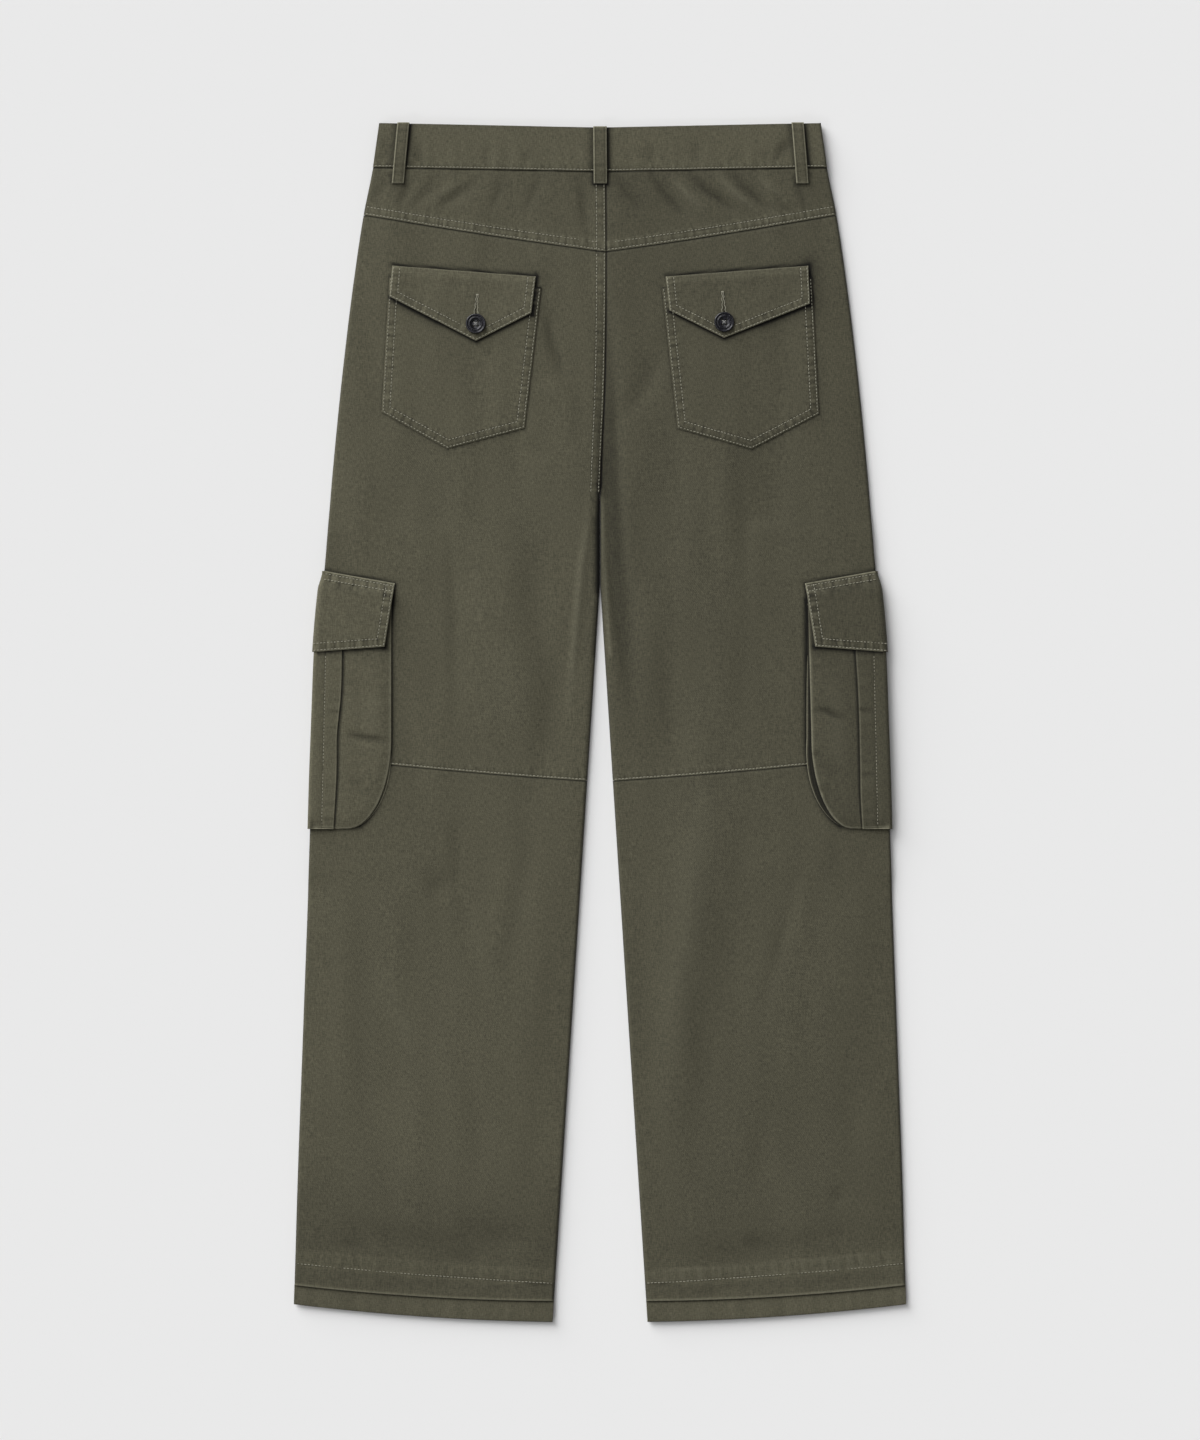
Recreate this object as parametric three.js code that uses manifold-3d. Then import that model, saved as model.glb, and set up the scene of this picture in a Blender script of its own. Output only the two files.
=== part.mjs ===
// Cargo trousers laid flat on their front, so that the back is uppermost.
// Millimetres. +Y runs to the waist, +X to the right seen from above, +Z up.
// The origin is on the floor under the middle of the garment. Left and right are
// the wearer's, which from above the back are also the viewer's.
import * as THREE from "three";
import { mergeVertices } from "three/addons/utils/BufferGeometryUtils.js";
import Module from "manifold-3d";

const wasm = await Module();
wasm.setup();

// Cloth and clearances
const CLOTH = 1.2; // one layer of cotton twill
const GAP = 0.3; // between pieces that are sewn to each other
const BAND = 2.4; // waistband: two layers and an interlining
const HEM = 2.0; // turned hem
const LOOP = 1.4; // belt loop, folded twice
const LOOP_ARCH = 0.8; // how far a loop stands off the band
const PLEAT = 0.5; // how far the box pleat stands out of a cargo pouch
const FULLNESS = 3.5; // air between front and back in the middle of a leg
const ROLL = 22; // width over which the back slopes down to a folded edge
const LIP = 1.2; // width of the rounded rim of a folded edge
const RIM_SHARE = 0.3; // wall left at the very rim

// Stack of layers at the waist, from the floor
const BAND_FLOOR = LOOP + LOOP_ARCH + GAP + 0.1;
const BACK_BAND_FLOOR = BAND_FLOOR + BAND + GAP;
const WAIST_LIFT = BAND_FLOOR + 0.6; // front panel at its seam to the band
const YOKE_EXTRA = 0.8; // the yoke rides this much higher at its seam to the band
const WAIST_RAMP = { from: 430, to: 483 };

// Cargo pockets: the stack under the leg sets how far the leg is lifted
const CARGO_LIFT = CLOTH + GAP + PLEAT + CLOTH + GAP;
const CARGO_ZONE = { inner: 140, bottom: -128, top: 165, ramp: 35 };
const FLY_LIFT = CLOTH + GAP;
const FLY_ZONE = { half: 66, bottom: 282, ramp: 35 };
const BACK_TOP = CLOTH + GAP + FULLNESS + CLOTH; // outer face of the back, away from folds

// Half width of the body and leg at each height
const SIDE_EDGE = [
  { y: 527.1, x: 194 },
  { y: 487, x: 199.5 },
  { y: 447, x: 207.7 },
  { y: 389, x: 216.5 },
  { y: 318, x: 225.3 },
  { y: 213, x: 235.8 },
  { y: 134, x: 242.2 },
  { y: 98, x: 246 },
  { y: 60, x: 249 },
  { y: 0, x: 251.6 },
  { y: -51, x: 253.6 },
  { y: -104, x: 255.2 },
  { y: -262, x: 260.9 },
  { y: -421, x: 266.6 },
  { y: -512, x: 269.1 },
];

// Centre back seam, which wanders off the middle line
const CENTRE_BACK = [
  { y: 487, x: 4.8 },
  { y: 413, x: 5.2 },
  { y: 283, x: 3.5 },
  { y: 239, x: 1.5 },
  { y: 198, x: 0 },
];
const BACK_FORK = 198; // where the two backs part
const FRONT_FORK = 117; // where the two fronts part
const FORK_SLIT = 1.3; // half the slit between the backs from one fork to the other
const INSEAM_SLOPE = 0.0627;

// Rows that cross a leg from the inseam or centre (inner) to the side (outer)
const SEAMS = {
  waistTop: { inner: 523.2, outer: 527.1, bow: 0 },
  waist: { inner: 483.4, outer: 487.1, bow: 0 },
  yoke: { inner: 413.2, outer: 445.7, bow: -1 },
  backFork: { inner: BACK_FORK, outer: 214, bow: 0 },
  frontFork: { inner: FRONT_FORK, outer: 134, bow: 0 },
  knee: { inner: -51.6, outer: -30, bow: -1.5 },
  hemStitch: { inner: -493.2, outer: -475.6, bow: -1.4 },
  backHem: { inner: -508.9, outer: -494.9, bow: -3.2 },
  frontHem: { inner: -527.4, outer: -511.8, bow: -3.1 },
};

// The largest folds of the back: troughs below zero, ridges above it
const FOLDS = [
  { name: "left thigh", width: 15, height: -1.6, path: [[-67, 188], [-57, 72], [-44, 33], [-57, -47]] },
  { name: "left shin", width: 16, height: -0.9, path: [[-141, -110], [-137, -155], [-120, -190]] },
  { name: "left calf", width: 13, height: -0.8, path: [[-190, -228], [-185, -315], [-190, -385]] },
  { name: "left seat", width: 11, height: -1.4, path: [[-43, 340], [-40, 322], [-29, 305]] },
  { name: "left yoke", width: 9, height: -0.9, path: [[-118, 472], [-138, 448]] },
  { name: "centre yoke", width: 8, height: -1.1, path: [[-16, 476], [-14, 440]] },
  { name: "right yoke inner", width: 9, height: -1.0, path: [[34, 474], [62, 438]] },
  { name: "right yoke middle", width: 9, height: -1.2, path: [[84, 476], [122, 444]] },
  { name: "right yoke outer", width: 9, height: -1.0, path: [[128, 476], [148, 450]] },
  { name: "right fork", width: 14, height: -1.8, path: [[12, 250], [20, 150], [18, 95], [38, -15]] },
  { name: "right thigh ridge", width: 22, height: 0.2, path: [[110, 98], [96, -30], [75, -180], [53, -293]] },
  { name: "right thigh", width: 17, height: -1.7, path: [[150, -51], [112, -150], [88, -240], [75, -400]] },
  { name: "right knee", width: 9, height: -1.3, path: [[178, -100], [168, -140], [150, -190]] },
  { name: "left hem", width: 15, height: -1.0, path: [[-240, -455], [-150, -462], [-55, -472]] },
  { name: "right hem", width: 15, height: -0.8, path: [[55, -472], [150, -462], [240, -455]] },
];

// Back pockets and their flaps: corners seen from above
const BACK_POCKETS = {
  left: {
    pocket: { top: [[-184.8, 391.4], [-51.4, 381.6]], foot: [[-191.8, 272.2], [-134, 239.8], [-66.1, 258]] },
    flap: { top: [[-182.3, 400.7], [-56.2, 391.2]], foot: [[-184.7, 373.3], [-108.9, 334.4], [-60.2, 358.8]] },
    button: [-109, 349.4],
  },
  right: {
    pocket: { top: [[54.4, 381.6], [186.1, 390.6]], foot: [[68.2, 257.7], [133.3, 239.5], [192.5, 270.4]] },
    flap: { top: [[57.6, 391.2], [182.9, 400.7]], foot: [[61.1, 360.9], [108.9, 337], [184.3, 367]] },
    button: [108.9, 350.8],
  },
};
const FLAP_RISE = 8; // from its seam, a flap rises over the pocket's mouth within this

// Cargo pockets, measured from the middle line outwards
const POUCH = {
  backEdge: 183, // edge that shows on the back
  frontShift: 25, // the hidden front half reaches this much further in
  foot: -93.8,
  cornerWidth: 39,
  cornerHeight: 79,
  belowFlap: 15, // the mouth lies this far under the flap's seam
  pleatFromEdge: 24,
  dome: 0.6,
};
const CARGO_FLAP = {
  backTop: { x: 179.9, y: 121.8 },
  sideTop: { x: 242.5, y: 132.9 },
  backFoot: { x: 188.8, y: 66 },
  sideFoot: { x: 253, y: 61.3 },
  frontEdge: 152,
  sewnShare: 0.2, // of the flap's depth, over which it rises from the leg to the pouch
};
const GUSSET = {
  width: 9,
  left: { standOut: -1.2, corner: 1.5 },
  right: { standOut: 1.6, corner: 5 },
};

// Belt loops: where the top and the foot of each is, and its width
const BACK_LOOPS = [
  { name: "left", top: -172.5, foot: -177.4, width: 10.6 },
  { name: "centre", top: 0, foot: 0.4, width: 11.8 },
  { name: "right", top: 173.4, foot: 177.8, width: 10.7 },
];
const FRONT_LOOPS = [
  { name: "left", top: -98, foot: -98, width: 10.6 },
  { name: "right", top: 98, foot: 98, width: 10.6 },
];
const LOOP_FOOT = 472.8;

const FLY = { width: 38, top: 482, straightTo: 346, foot: 308, edge: 0.5 };
const TAB_END = 14; // the front band's overlap past the middle line

const BUTTON = { radius: 8.8, height: 2.5, holeRadius: 0.9, holeAt: 1.9, sides: 20 };
const WAIST_BUTTON = { x: 0, y: 505, height: BAND_FLOOR - GAP };

const TWILL = new THREE.MeshStandardMaterial({ color: 0x525043, roughness: 0.92, metalness: 0 });
const INSIDE_TWILL = new THREE.MeshStandardMaterial({ color: 0x4a483b, roughness: 0.95, metalness: 0 });
const HORN = new THREE.MeshStandardMaterial({ color: 0x1d1c20, roughness: 0.35, metalness: 0 });

const mix = (a, b, t) => a + (b - a) * t;
const smooth = (from, to, value) => THREE.MathUtils.smoothstep(value, from, to);

// A smooth curve through a table's points, read at a height.
function curveAt(table, y) {
  const last = table.length - 1;
  let i = 0;
  while (i < last - 1 && y < table[i + 1].y) i += 1;
  const a = table[i];
  const b = table[i + 1];
  const slope = (k) => {
    const above = table[Math.max(k - 1, 0)];
    const below = table[Math.min(k + 1, last)];
    return (below.x - above.x) / (below.y - above.y);
  };
  const span = b.y - a.y;
  const t = THREE.MathUtils.clamp((y - a.y) / span, 0, 1);
  const ease = t * t * (3 - 2 * t);
  const pull = t * (1 - t) * span;
  return mix(a.x, b.x, ease) + pull * ((1 - t) * slope(i) - t * slope(i + 1));
}

const sideEdge = (y) => curveAt(SIDE_EDGE, y);
const inseam = (y) => FORK_SLIT + (FRONT_FORK - y) * INSEAM_SLOPE;

// Inner edge of a back on one side (-1 left, 1 right), measured outwards from the middle line.
function backInner(side, y) {
  if (y <= FRONT_FORK) return inseam(y);
  if (y < BACK_FORK) return FORK_SLIT;
  return side * curveAt(CENTRE_BACK, y) + GAP / 2;
}

const frontInner = (side, y) => (y < FRONT_FORK ? inseam(y) : GAP / 2);

// 1 inside a span, falling to 0 over the ramp outside it.
function plateau(low, high, ramp, value) {
  return smooth(low - ramp, low, value) * (1 - smooth(high, high + ramp, value));
}

// How far the front is lifted off the floor by what lies under it.
function frontLift(out, y) {
  const waist = WAIST_LIFT * smooth(WAIST_RAMP.from, WAIST_RAMP.to, y);
  const zone = CARGO_ZONE;
  const cargo =
    CARGO_LIFT * smooth(zone.inner - zone.ramp, zone.inner, out) * plateau(zone.bottom, zone.top, zone.ramp, y);
  const fly =
    FLY_LIFT *
    (1 - smooth(FLY_ZONE.half, FLY_ZONE.half + FLY_ZONE.ramp, out)) *
    smooth(FLY_ZONE.bottom - FLY_ZONE.ramp, FLY_ZONE.bottom, y);
  return Math.max(waist, cargo, fly);
}

// Share of the full height that the back has at a distance from a folded edge.
function rollShare(distance) {
  const t = THREE.MathUtils.clamp(distance / ROLL, 0, 1);
  return 1 - (1 - t) ** 2.2;
}

// Height that the folds add at a point.
function foldHeight(x, y) {
  const point = new THREE.Vector3(x, y, 0);
  const nearest = new THREE.Vector3();
  let sum = 0;
  for (const fold of FOLDS) {
    const reach = fold.width * 2.2;
    const stops = fold.path.map(([px, py]) => new THREE.Vector3(px, py, 0));
    const count = stops.length - 1;
    let best = Infinity;
    let along = 0;
    for (let i = 0; i < count; i += 1) {
      const part = new THREE.Line3(stops[i], stops[i + 1]);
      const t = part.closestPointToPointParameter(point, true);
      const away = part.at(t, nearest).distanceTo(point);
      if (away < best) {
        best = away;
        along = (i + t) / count;
      }
    }
    if (best < reach) {
      const taper = Math.min(1, 0.35 + 2.6 * along * (1 - along));
      sum += fold.height * taper * Math.exp(-((best / fold.width) ** 2));
    }
  }
  return sum;
}

const hemShare = (y, stitchY) => 1 - smooth(stitchY + 5, stitchY + 45, y);
const FRONT_HEM_EXTRA = HEM - CLOTH;

// Underside of the back at a point, from the distances to its two edges.
function backFloor(side, out, y, stitchY) {
  const lift = frontLift(out, y);
  const fromSide = sideEdge(y) - out;
  const split = 1 - smooth(BACK_FORK, BACK_FORK + 45, y);
  const inner = mix(1, rollShare(out - inseam(Math.min(y, FRONT_FORK))), split);
  const hem = hemShare(y, stitchY);
  const air = FULLNESS * rollShare(fromSide) * inner * (1 - 0.55 * hem);
  const folded = Math.max(air + foldHeight(side * out, y) * rollShare(fromSide) * inner, 0);
  const waist = YOKE_EXTRA * smooth(WAIST_RAMP.from, WAIST_RAMP.to, y);
  return CLOTH + GAP + Math.max(lift, folded) + waist + FRONT_HEM_EXTRA * hem;
}

// A closed wall between two grids of points; its faces are turned outwards by its volume.
function wallBetween(inside, outside) {
  const rows = inside.length;
  const columns = inside[0].length;
  const positions = [...inside.flat(), ...outside.flat()].flatMap((p) => [p.x, p.y, p.z]);
  const at = (layer, i, j) => layer * rows * columns + i * columns + j;
  const index = [];
  const quad = (a, b, c, d) => index.push(a, b, c, a, c, d);
  for (let i = 0; i < rows - 1; i += 1) {
    for (let j = 0; j < columns - 1; j += 1) {
      quad(at(1, i, j), at(1, i + 1, j), at(1, i + 1, j + 1), at(1, i, j + 1));
      quad(at(0, i, j), at(0, i, j + 1), at(0, i + 1, j + 1), at(0, i + 1, j));
    }
  }
  for (let i = 0; i < rows - 1; i += 1) {
    quad(at(0, i, 0), at(0, i + 1, 0), at(1, i + 1, 0), at(1, i, 0));
    quad(at(0, i + 1, columns - 1), at(0, i, columns - 1), at(1, i, columns - 1), at(1, i + 1, columns - 1));
  }
  for (let j = 0; j < columns - 1; j += 1) {
    quad(at(0, 0, j + 1), at(0, 0, j), at(1, 0, j), at(1, 0, j + 1));
    quad(at(0, rows - 1, j), at(0, rows - 1, j + 1), at(1, rows - 1, j + 1), at(1, rows - 1, j));
  }
  const corner = (k) => new THREE.Vector3(...positions.slice(3 * k, 3 * k + 3));
  let volume = 0;
  for (let k = 0; k < index.length; k += 3) {
    const [a, b, c] = [corner(index[k]), corner(index[k + 1]), corner(index[k + 2])];
    volume += a.dot(b.cross(c));
  }
  if (volume < 0) {
    for (let k = 0; k < index.length; k += 3) [index[k + 1], index[k + 2]] = [index[k + 2], index[k + 1]];
  }
  return new THREE.BufferGeometry()
    .setAttribute("position", new THREE.Float32BufferAttribute(positions, 3))
    .setIndex(index);
}

const group = new THREE.Group();
const pieces = {};

function add(name, geometry, material = TWILL) {
  const mesh = new THREE.Mesh(geometry, material);
  mesh.name = name;
  group.add(mesh);
  pieces[name] = mesh;
  return mesh;
}

// Rows spaced evenly from one seam to another, held half a gap inside both.
function rowsBetween(from, to, count) {
  return Array.from({ length: count + 1 }, (_, i) => {
    const t = i / count;
    const shift = i === 0 ? -GAP / 2 : i === count ? GAP / 2 : 0;
    return {
      inner: mix(from.inner, to.inner, t) + shift,
      outer: mix(from.outer, to.outer, t) + shift,
      bow: mix(from.bow, to.bow, t),
    };
  });
}

// Distances of a leg's columns from its inner edge: close at both edges, even between them.
function columnsAcross(width, middle) {
  const start = [0, LIP, 8, ROLL];
  const end = [ROLL, 11, 4.5, LIP, 0].map((d) => width - d);
  const between = Array.from({ length: middle - 1 }, (_, k) => mix(ROLL, width - ROLL, (k + 1) / middle));
  return [...start, ...between, ...end];
}

// Grid of plan points of a leg panel: { out, y } from the middle line, and its distance to each edge.
function planOf(rows, innerAt, middle) {
  return rows.map((row) => {
    const inner = innerAt(row.inner);
    const width = sideEdge(row.outer) - inner;
    return columnsAcross(width, middle).map((distance, j, all) => {
      const u = distance / width;
      return {
        out: inner + distance,
        y: mix(row.inner, row.outer, u) + row.bow * 4 * u * (1 - u),
        stitchY: mix(SEAMS.hemStitch.inner, SEAMS.hemStitch.outer, u),
        atRim: j === 0 || j === all.length - 1,
      };
    });
  });
}

// A back panel; rims that are folded edges are rounded, and the hem is thicker.
function backPanel(side, rows, middle, { innerIsFold = false, hemFrom = rows.length }) {
  const plan = planOf(rows, (y) => backInner(side, y), middle);
  const floor = plan.map((row) =>
    row.map((p) => new THREE.Vector3(side * p.out, p.y, backFloor(side, p.out, p.y, p.stitchY))),
  );
  const top = floor.map((row, i) =>
    row.map((p, j) => {
      const { y } = plan[i][j];
      const folded = j === row.length - 1 || (j === 0 && (innerIsFold || y < BACK_FORK));
      const wall = i >= hemFrom ? HEM : CLOTH;
      return new THREE.Vector3(p.x, p.y, p.z + (folded ? wall * RIM_SHARE : wall));
    }),
  );
  return wallBetween(floor, top);
}

// A front panel, whose outer face is underneath; the turned hem thickens its inner face.
function frontPanel(side, rows, middle, hemFrom) {
  const plan = planOf(rows, (y) => frontInner(side, y), middle);
  const floor = plan.map((row) =>
    row.map((p, j) => {
      const folded = j === row.length - 1 || (j === 0 && p.y < FRONT_FORK);
      const z = frontLift(p.out, p.y) + (folded ? CLOTH * (1 - RIM_SHARE) : 0);
      return new THREE.Vector3(side * p.out, p.y, z);
    }),
  );
  const top = plan.map((row, i) =>
    row.map((p) => {
      const wall = i >= hemFrom ? HEM : CLOTH;
      return new THREE.Vector3(side * p.out, p.y, frontLift(p.out, p.y) + wall);
    }),
  );
  return wallBetween(floor, top);
}

const shifted = (row, by) => ({ inner: row.inner + by, outer: row.outer + by, bow: row.bow });

function legPanels(side, name) {
  const middle = 12;
  const yoke = rowsBetween(SEAMS.waist, SEAMS.yoke, 3);
  const seat = rowsBetween(SEAMS.yoke, SEAMS.backFork, 7);
  const fork = rowsBetween(SEAMS.backFork, SEAMS.frontFork, 3);
  const thigh = rowsBetween(SEAMS.frontFork, SEAMS.knee, 6);
  const shin = rowsBetween(SEAMS.knee, SEAMS.hemStitch, 11);
  const hemStart = shifted(SEAMS.hemStitch, -1.2);
  const upper = [...seat.slice(0, -1), SEAMS.backFork, ...fork.slice(1, -1), SEAMS.frontFork, ...thigh.slice(1)];
  const lower = [...shin.slice(0, -1), SEAMS.hemStitch, hemStart, SEAMS.backHem];
  add(`yoke_${name}`, backPanel(side, yoke, middle, {}));
  add(`back_${name}`, backPanel(side, upper, middle, {}));
  add(`lower_back_${name}`, backPanel(side, lower, middle, { innerIsFold: true, hemFrom: shin.length }));
  const front = [
    yoke[0],
    ...yoke.slice(1, -1),
    SEAMS.yoke,
    ...upper.slice(1, -1),
    SEAMS.knee,
    ...lower.slice(1),
    SEAMS.frontHem,
  ];
  const hemFrom = front.indexOf(hemStart);
  add(`front_${name}`, frontPanel(side, front, 3, hemFrom), INSIDE_TWILL);
}

// Waistband between its top edge and its seam, as a flat curved strip of an even thickness.
function waistband(name, from, to, floor) {
  const count = Math.max(4, Math.round(Math.abs(to - from) / 28));
  const heights = [0, 0.5, 1];
  const grid = heights.map((v) =>
    Array.from({ length: count + 1 }, (_, j) => {
      const x = mix(from, to, j / count);
      const u = Math.min(Math.abs(x) / SIDE_EDGE[0].x, 1);
      const top = mix(SEAMS.waistTop.inner, SEAMS.waistTop.outer, u);
      const foot = mix(SEAMS.waist.inner, SEAMS.waist.outer, u) + GAP / 2;
      const spread = mix(1, SIDE_EDGE[1].x / SIDE_EDGE[0].x, v);
      return new THREE.Vector3(x * spread, mix(top, foot, v), floor);
    }),
  );
  const raised = grid.map((row) => row.map((p) => p.clone().setZ(floor + BAND)));
  add(`waistband_${name}`, wallBetween(grid, raised));
}

// A belt loop over the band: a strip whose ends are sewn down and whose middle stands off.
function beltLoop(name, loop, profile) {
  const edgeTop = profile[0].y;
  const edgeFoot = profile[profile.length - 1].y;
  const line = (outer) =>
    profile.map(({ y, low, high }) => {
      const t = (edgeTop - y) / (edgeTop - edgeFoot);
      const middle = mix(loop.top, loop.foot, t);
      return [-0.5, 0.5].map((k) => new THREE.Vector3(middle + k * loop.width, y, outer ? high : low));
    });
  add(`belt_loop_${name}`, wallBetween(line(false), line(true)));
}

function beltLoops() {
  const bandTop = BACK_BAND_FLOOR + BAND + GAP;
  const yokeTop = CLOTH + GAP + WAIST_LIFT + YOKE_EXTRA + CLOTH + GAP;
  const arch = bandTop + LOOP_ARCH;
  for (const loop of BACK_LOOPS) {
    const u = Math.abs(loop.top) / SIDE_EDGE[0].x;
    const top = mix(SEAMS.waistTop.inner, SEAMS.waistTop.outer, u) + 0.6;
    const seam = mix(SEAMS.waist.inner, SEAMS.waist.outer, u);
    const profile = [
      { y: top, low: bandTop },
      { y: top - 5, low: bandTop + 0.6 },
      { y: mix(top, seam, 0.45), low: arch },
      { y: seam + 6, low: arch - 0.1 },
      { y: seam - 1.5, low: bandTop },
      { y: seam - 6, low: yokeTop + 0.2 },
      { y: LOOP_FOOT, low: yokeTop },
    ].map((p) => ({ ...p, high: p.low + LOOP }));
    beltLoop(`back_${loop.name}`, loop, profile);
  }
  const underBand = BAND_FLOOR - GAP;
  for (const loop of FRONT_LOOPS) {
    const u = Math.abs(loop.top) / SIDE_EDGE[0].x;
    const top = mix(SEAMS.waistTop.inner, SEAMS.waistTop.outer, u) - 0.3;
    const seam = mix(SEAMS.waist.inner, SEAMS.waist.outer, u);
    const profile = [
      { y: top, high: underBand },
      { y: top - 6, high: LOOP },
      { y: seam + 4, high: LOOP },
      { y: seam - 3, high: underBand },
      { y: LOOP_FOOT, high: underBand },
    ].map((p) => ({ ...p, low: p.high - LOOP }));
    beltLoop(`front_${loop.name}`, loop, profile);
  }
}

const DOWN = new THREE.Vector3(0, 0, -1);

// Height of the uppermost of some pieces at a point.
function topOf(pieces, x, y) {
  const [hit] = new THREE.Raycaster(new THREE.Vector3(x, y, 100), DOWN).intersectObjects(pieces);
  return hit ? hit.point.z : 0;
}

// A patch ruled from its top line to its foot line, laid on other pieces and moved out.
function laidPatch(shape, columns, depths, under, liftAt) {
  const [topA, topB] = shape.top;
  const [footA, point, footB] = shape.foot;
  const share = Math.hypot(point[0] - footA[0], point[1] - footA[1]);
  const rest = Math.hypot(footB[0] - point[0], footB[1] - point[1]);
  const bend = share / (share + rest);
  const along = Array.from({ length: 2 * columns + 1 }, (_, k) => {
    const first = k <= columns;
    const t = first ? k / columns : (k - columns) / columns;
    const u = first ? mix(0, bend, t) : mix(bend, 1, t);
    const foot = first ? [footA, point] : [point, footB];
    return {
      top: [mix(topA[0], topB[0], u), mix(topA[1], topB[1], u)],
      foot: [mix(foot[0][0], foot[1][0], t), mix(foot[0][1], foot[1][1], t)],
    };
  });
  const layer = (extra) =>
    depths.map((v) =>
      along.map(({ top, foot }) => {
        const x = mix(top[0], foot[0], v);
        const y = mix(top[1], foot[1], v);
        return new THREE.Vector3(x, y, Math.max(topOf(under, x, y) + GAP, liftAt(x, y, v)) + extra);
      }),
    );
  return wallBetween(layer(0), layer(CLOTH));
}

function manifoldOf(geometry) {
  geometry.deleteAttribute("normal");
  geometry.deleteAttribute("uv");
  const merged = mergeVertices(geometry, 1e-4);
  return new wasm.Manifold(
    new wasm.Mesh({
      numProp: 3,
      vertProperties: new Float32Array(merged.attributes.position.array),
      triVerts: new Uint32Array(merged.index.array),
    }),
  );
}

// A four-hole button with a raised rim, standing on z = 0.
function buttonGeometry(height) {
  const { radius, holeRadius, holeAt } = BUTTON;
  const profile = [
    [0, 0],
    [radius * 0.72, 0],
    [radius, height * 0.55],
    [radius * 0.9, height],
    [radius * 0.74, height],
    [radius * 0.6, height * 0.7],
    [0, height * 0.66],
  ].map(([x, y]) => new THREE.Vector2(x, y));
  const disc = new THREE.LatheGeometry(profile, BUTTON.sides).rotateX(Math.PI / 2);
  let solid = manifoldOf(disc);
  for (const [kx, ky] of [[1, 1], [1, -1], [-1, 1], [-1, -1]]) {
    const bore = new THREE.CylinderGeometry(holeRadius, holeRadius, 4 * height, 6).rotateX(Math.PI / 2);
    bore.translate(kx * holeAt, ky * holeAt, 0);
    solid = solid.subtract(manifoldOf(bore));
  }
  const mesh = solid.getMesh();
  return new THREE.BufferGeometry()
    .setAttribute("position", new THREE.BufferAttribute(mesh.vertProperties, 3))
    .setIndex(new THREE.BufferAttribute(mesh.triVerts, 1));
}

function backPockets() {
  for (const [name, parts] of Object.entries(BACK_POCKETS)) {
    const back = pieces[`back_${name}`];
    const pocketDepths = [0, 0.15, 0.3, 0.5, 0.7, 0.85, 1];
    const pocket = add(`back_pocket_${name}`, laidPatch(parts.pocket, 4, pocketDepths, [back], () => 0));
    const depth = Math.abs(parts.flap.top[0][1] - parts.flap.foot[1][1]);
    const risen = FLAP_RISE / depth;
    const overPocket = (x, y, v) => topOf([back], x, y) + mix(GAP, 2 * GAP + CLOTH, Math.min(v / risen, 1));
    const flapDepths = [0, risen, 0.45, 0.72, 1];
    const flap = add(`back_flap_${name}`, laidPatch(parts.flap, 4, flapDepths, [back, pocket], overPocket));
    const [x, y] = parts.button;
    const around = [0, 45, 90, 135, 180, 225, 270, 315].map((angle) => {
      const turn = THREE.MathUtils.degToRad(angle);
      return topOf([flap], x + BUTTON.radius * Math.cos(turn), y + BUTTON.radius * Math.sin(turn));
    });
    const seat = Math.max(topOf([flap], x, y), ...around) + GAP;
    add(`back_button_${name}`, buttonGeometry(BUTTON.height), HORN).position.set(x, y, seat);
  }
}

// Section of a wall that wraps the side of a leg: over the back, round the fold, under the front.
function wrapSection({ backEnd, frontEnd, reach, high, low, wall, raise, dome }) {
  const radius = (high - low) / 2;
  const centre = reach - radius;
  const middle = (high + low) / 2;
  const points = [];
  const flat = (x, z, out, extra) => points.push({ x, z, ox: x, oz: z + out * (wall + extra) });
  const pleatAt = reach - POUCH.pleatFromEdge;
  const step = 0.4;
  flat(backEnd, high, 1, 0);
  flat(mix(backEnd, pleatAt, 0.12), high, 1, dome * 0.4);
  flat(mix(backEnd, pleatAt, 0.5), high, 1, dome);
  flat(mix(backEnd, pleatAt, 0.85), high, 1, dome * 0.6);
  flat(pleatAt - step, high, 1, 0);
  flat(pleatAt + step, high, 1, raise);
  flat(mix(pleatAt, centre, 0.5), high, 1, raise);
  const turns = 6;
  for (let k = 0; k <= turns; k += 1) {
    const angle = Math.PI / 2 - (Math.PI * k) / turns;
    const extra = wall + raise * Math.abs(Math.sin(angle));
    points.push({
      x: centre + radius * Math.cos(angle),
      z: middle + radius * Math.sin(angle),
      ox: centre + (radius + wall) * Math.cos(angle),
      oz: middle + (radius + extra) * Math.sin(angle),
    });
  }
  flat(pleatAt + step, low, -1, raise);
  flat(pleatAt - step, low, -1, 0);
  flat(mix(pleatAt, frontEnd, 0.5), low, -1, 0);
  flat(frontEnd, low, -1, 0);
  return points;
}

// Height of a flap's seam and foot at a distance out; the hidden half runs level.
const flapTopAt = (out) =>
  mix(CARGO_FLAP.backTop.y, CARGO_FLAP.sideTop.y, (out - CARGO_FLAP.backTop.x) / 62.6);
const flapFootAt = (out) =>
  mix(CARGO_FLAP.backFoot.y, CARGO_FLAP.sideFoot.y, (out - CARGO_FLAP.backFoot.x) / 64.2);

// Inner edge of a pouch at a height: straight, then a quarter ellipse at its lower corner.
function pouchEdge(y) {
  const start = POUCH.foot + POUCH.cornerHeight;
  const t = THREE.MathUtils.clamp((start - y) / POUCH.cornerHeight, 0, 1);
  return POUCH.backEdge + POUCH.cornerWidth * (1 - Math.sqrt(1 - t * t));
}

const wrapGrid = (sections, side) => [
  sections.map((row) => row.map((p) => new THREE.Vector3(side * p.x, p.y, p.z))),
  sections.map((row) => row.map((p) => new THREE.Vector3(side * p.ox, p.y, p.oz))),
];

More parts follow.
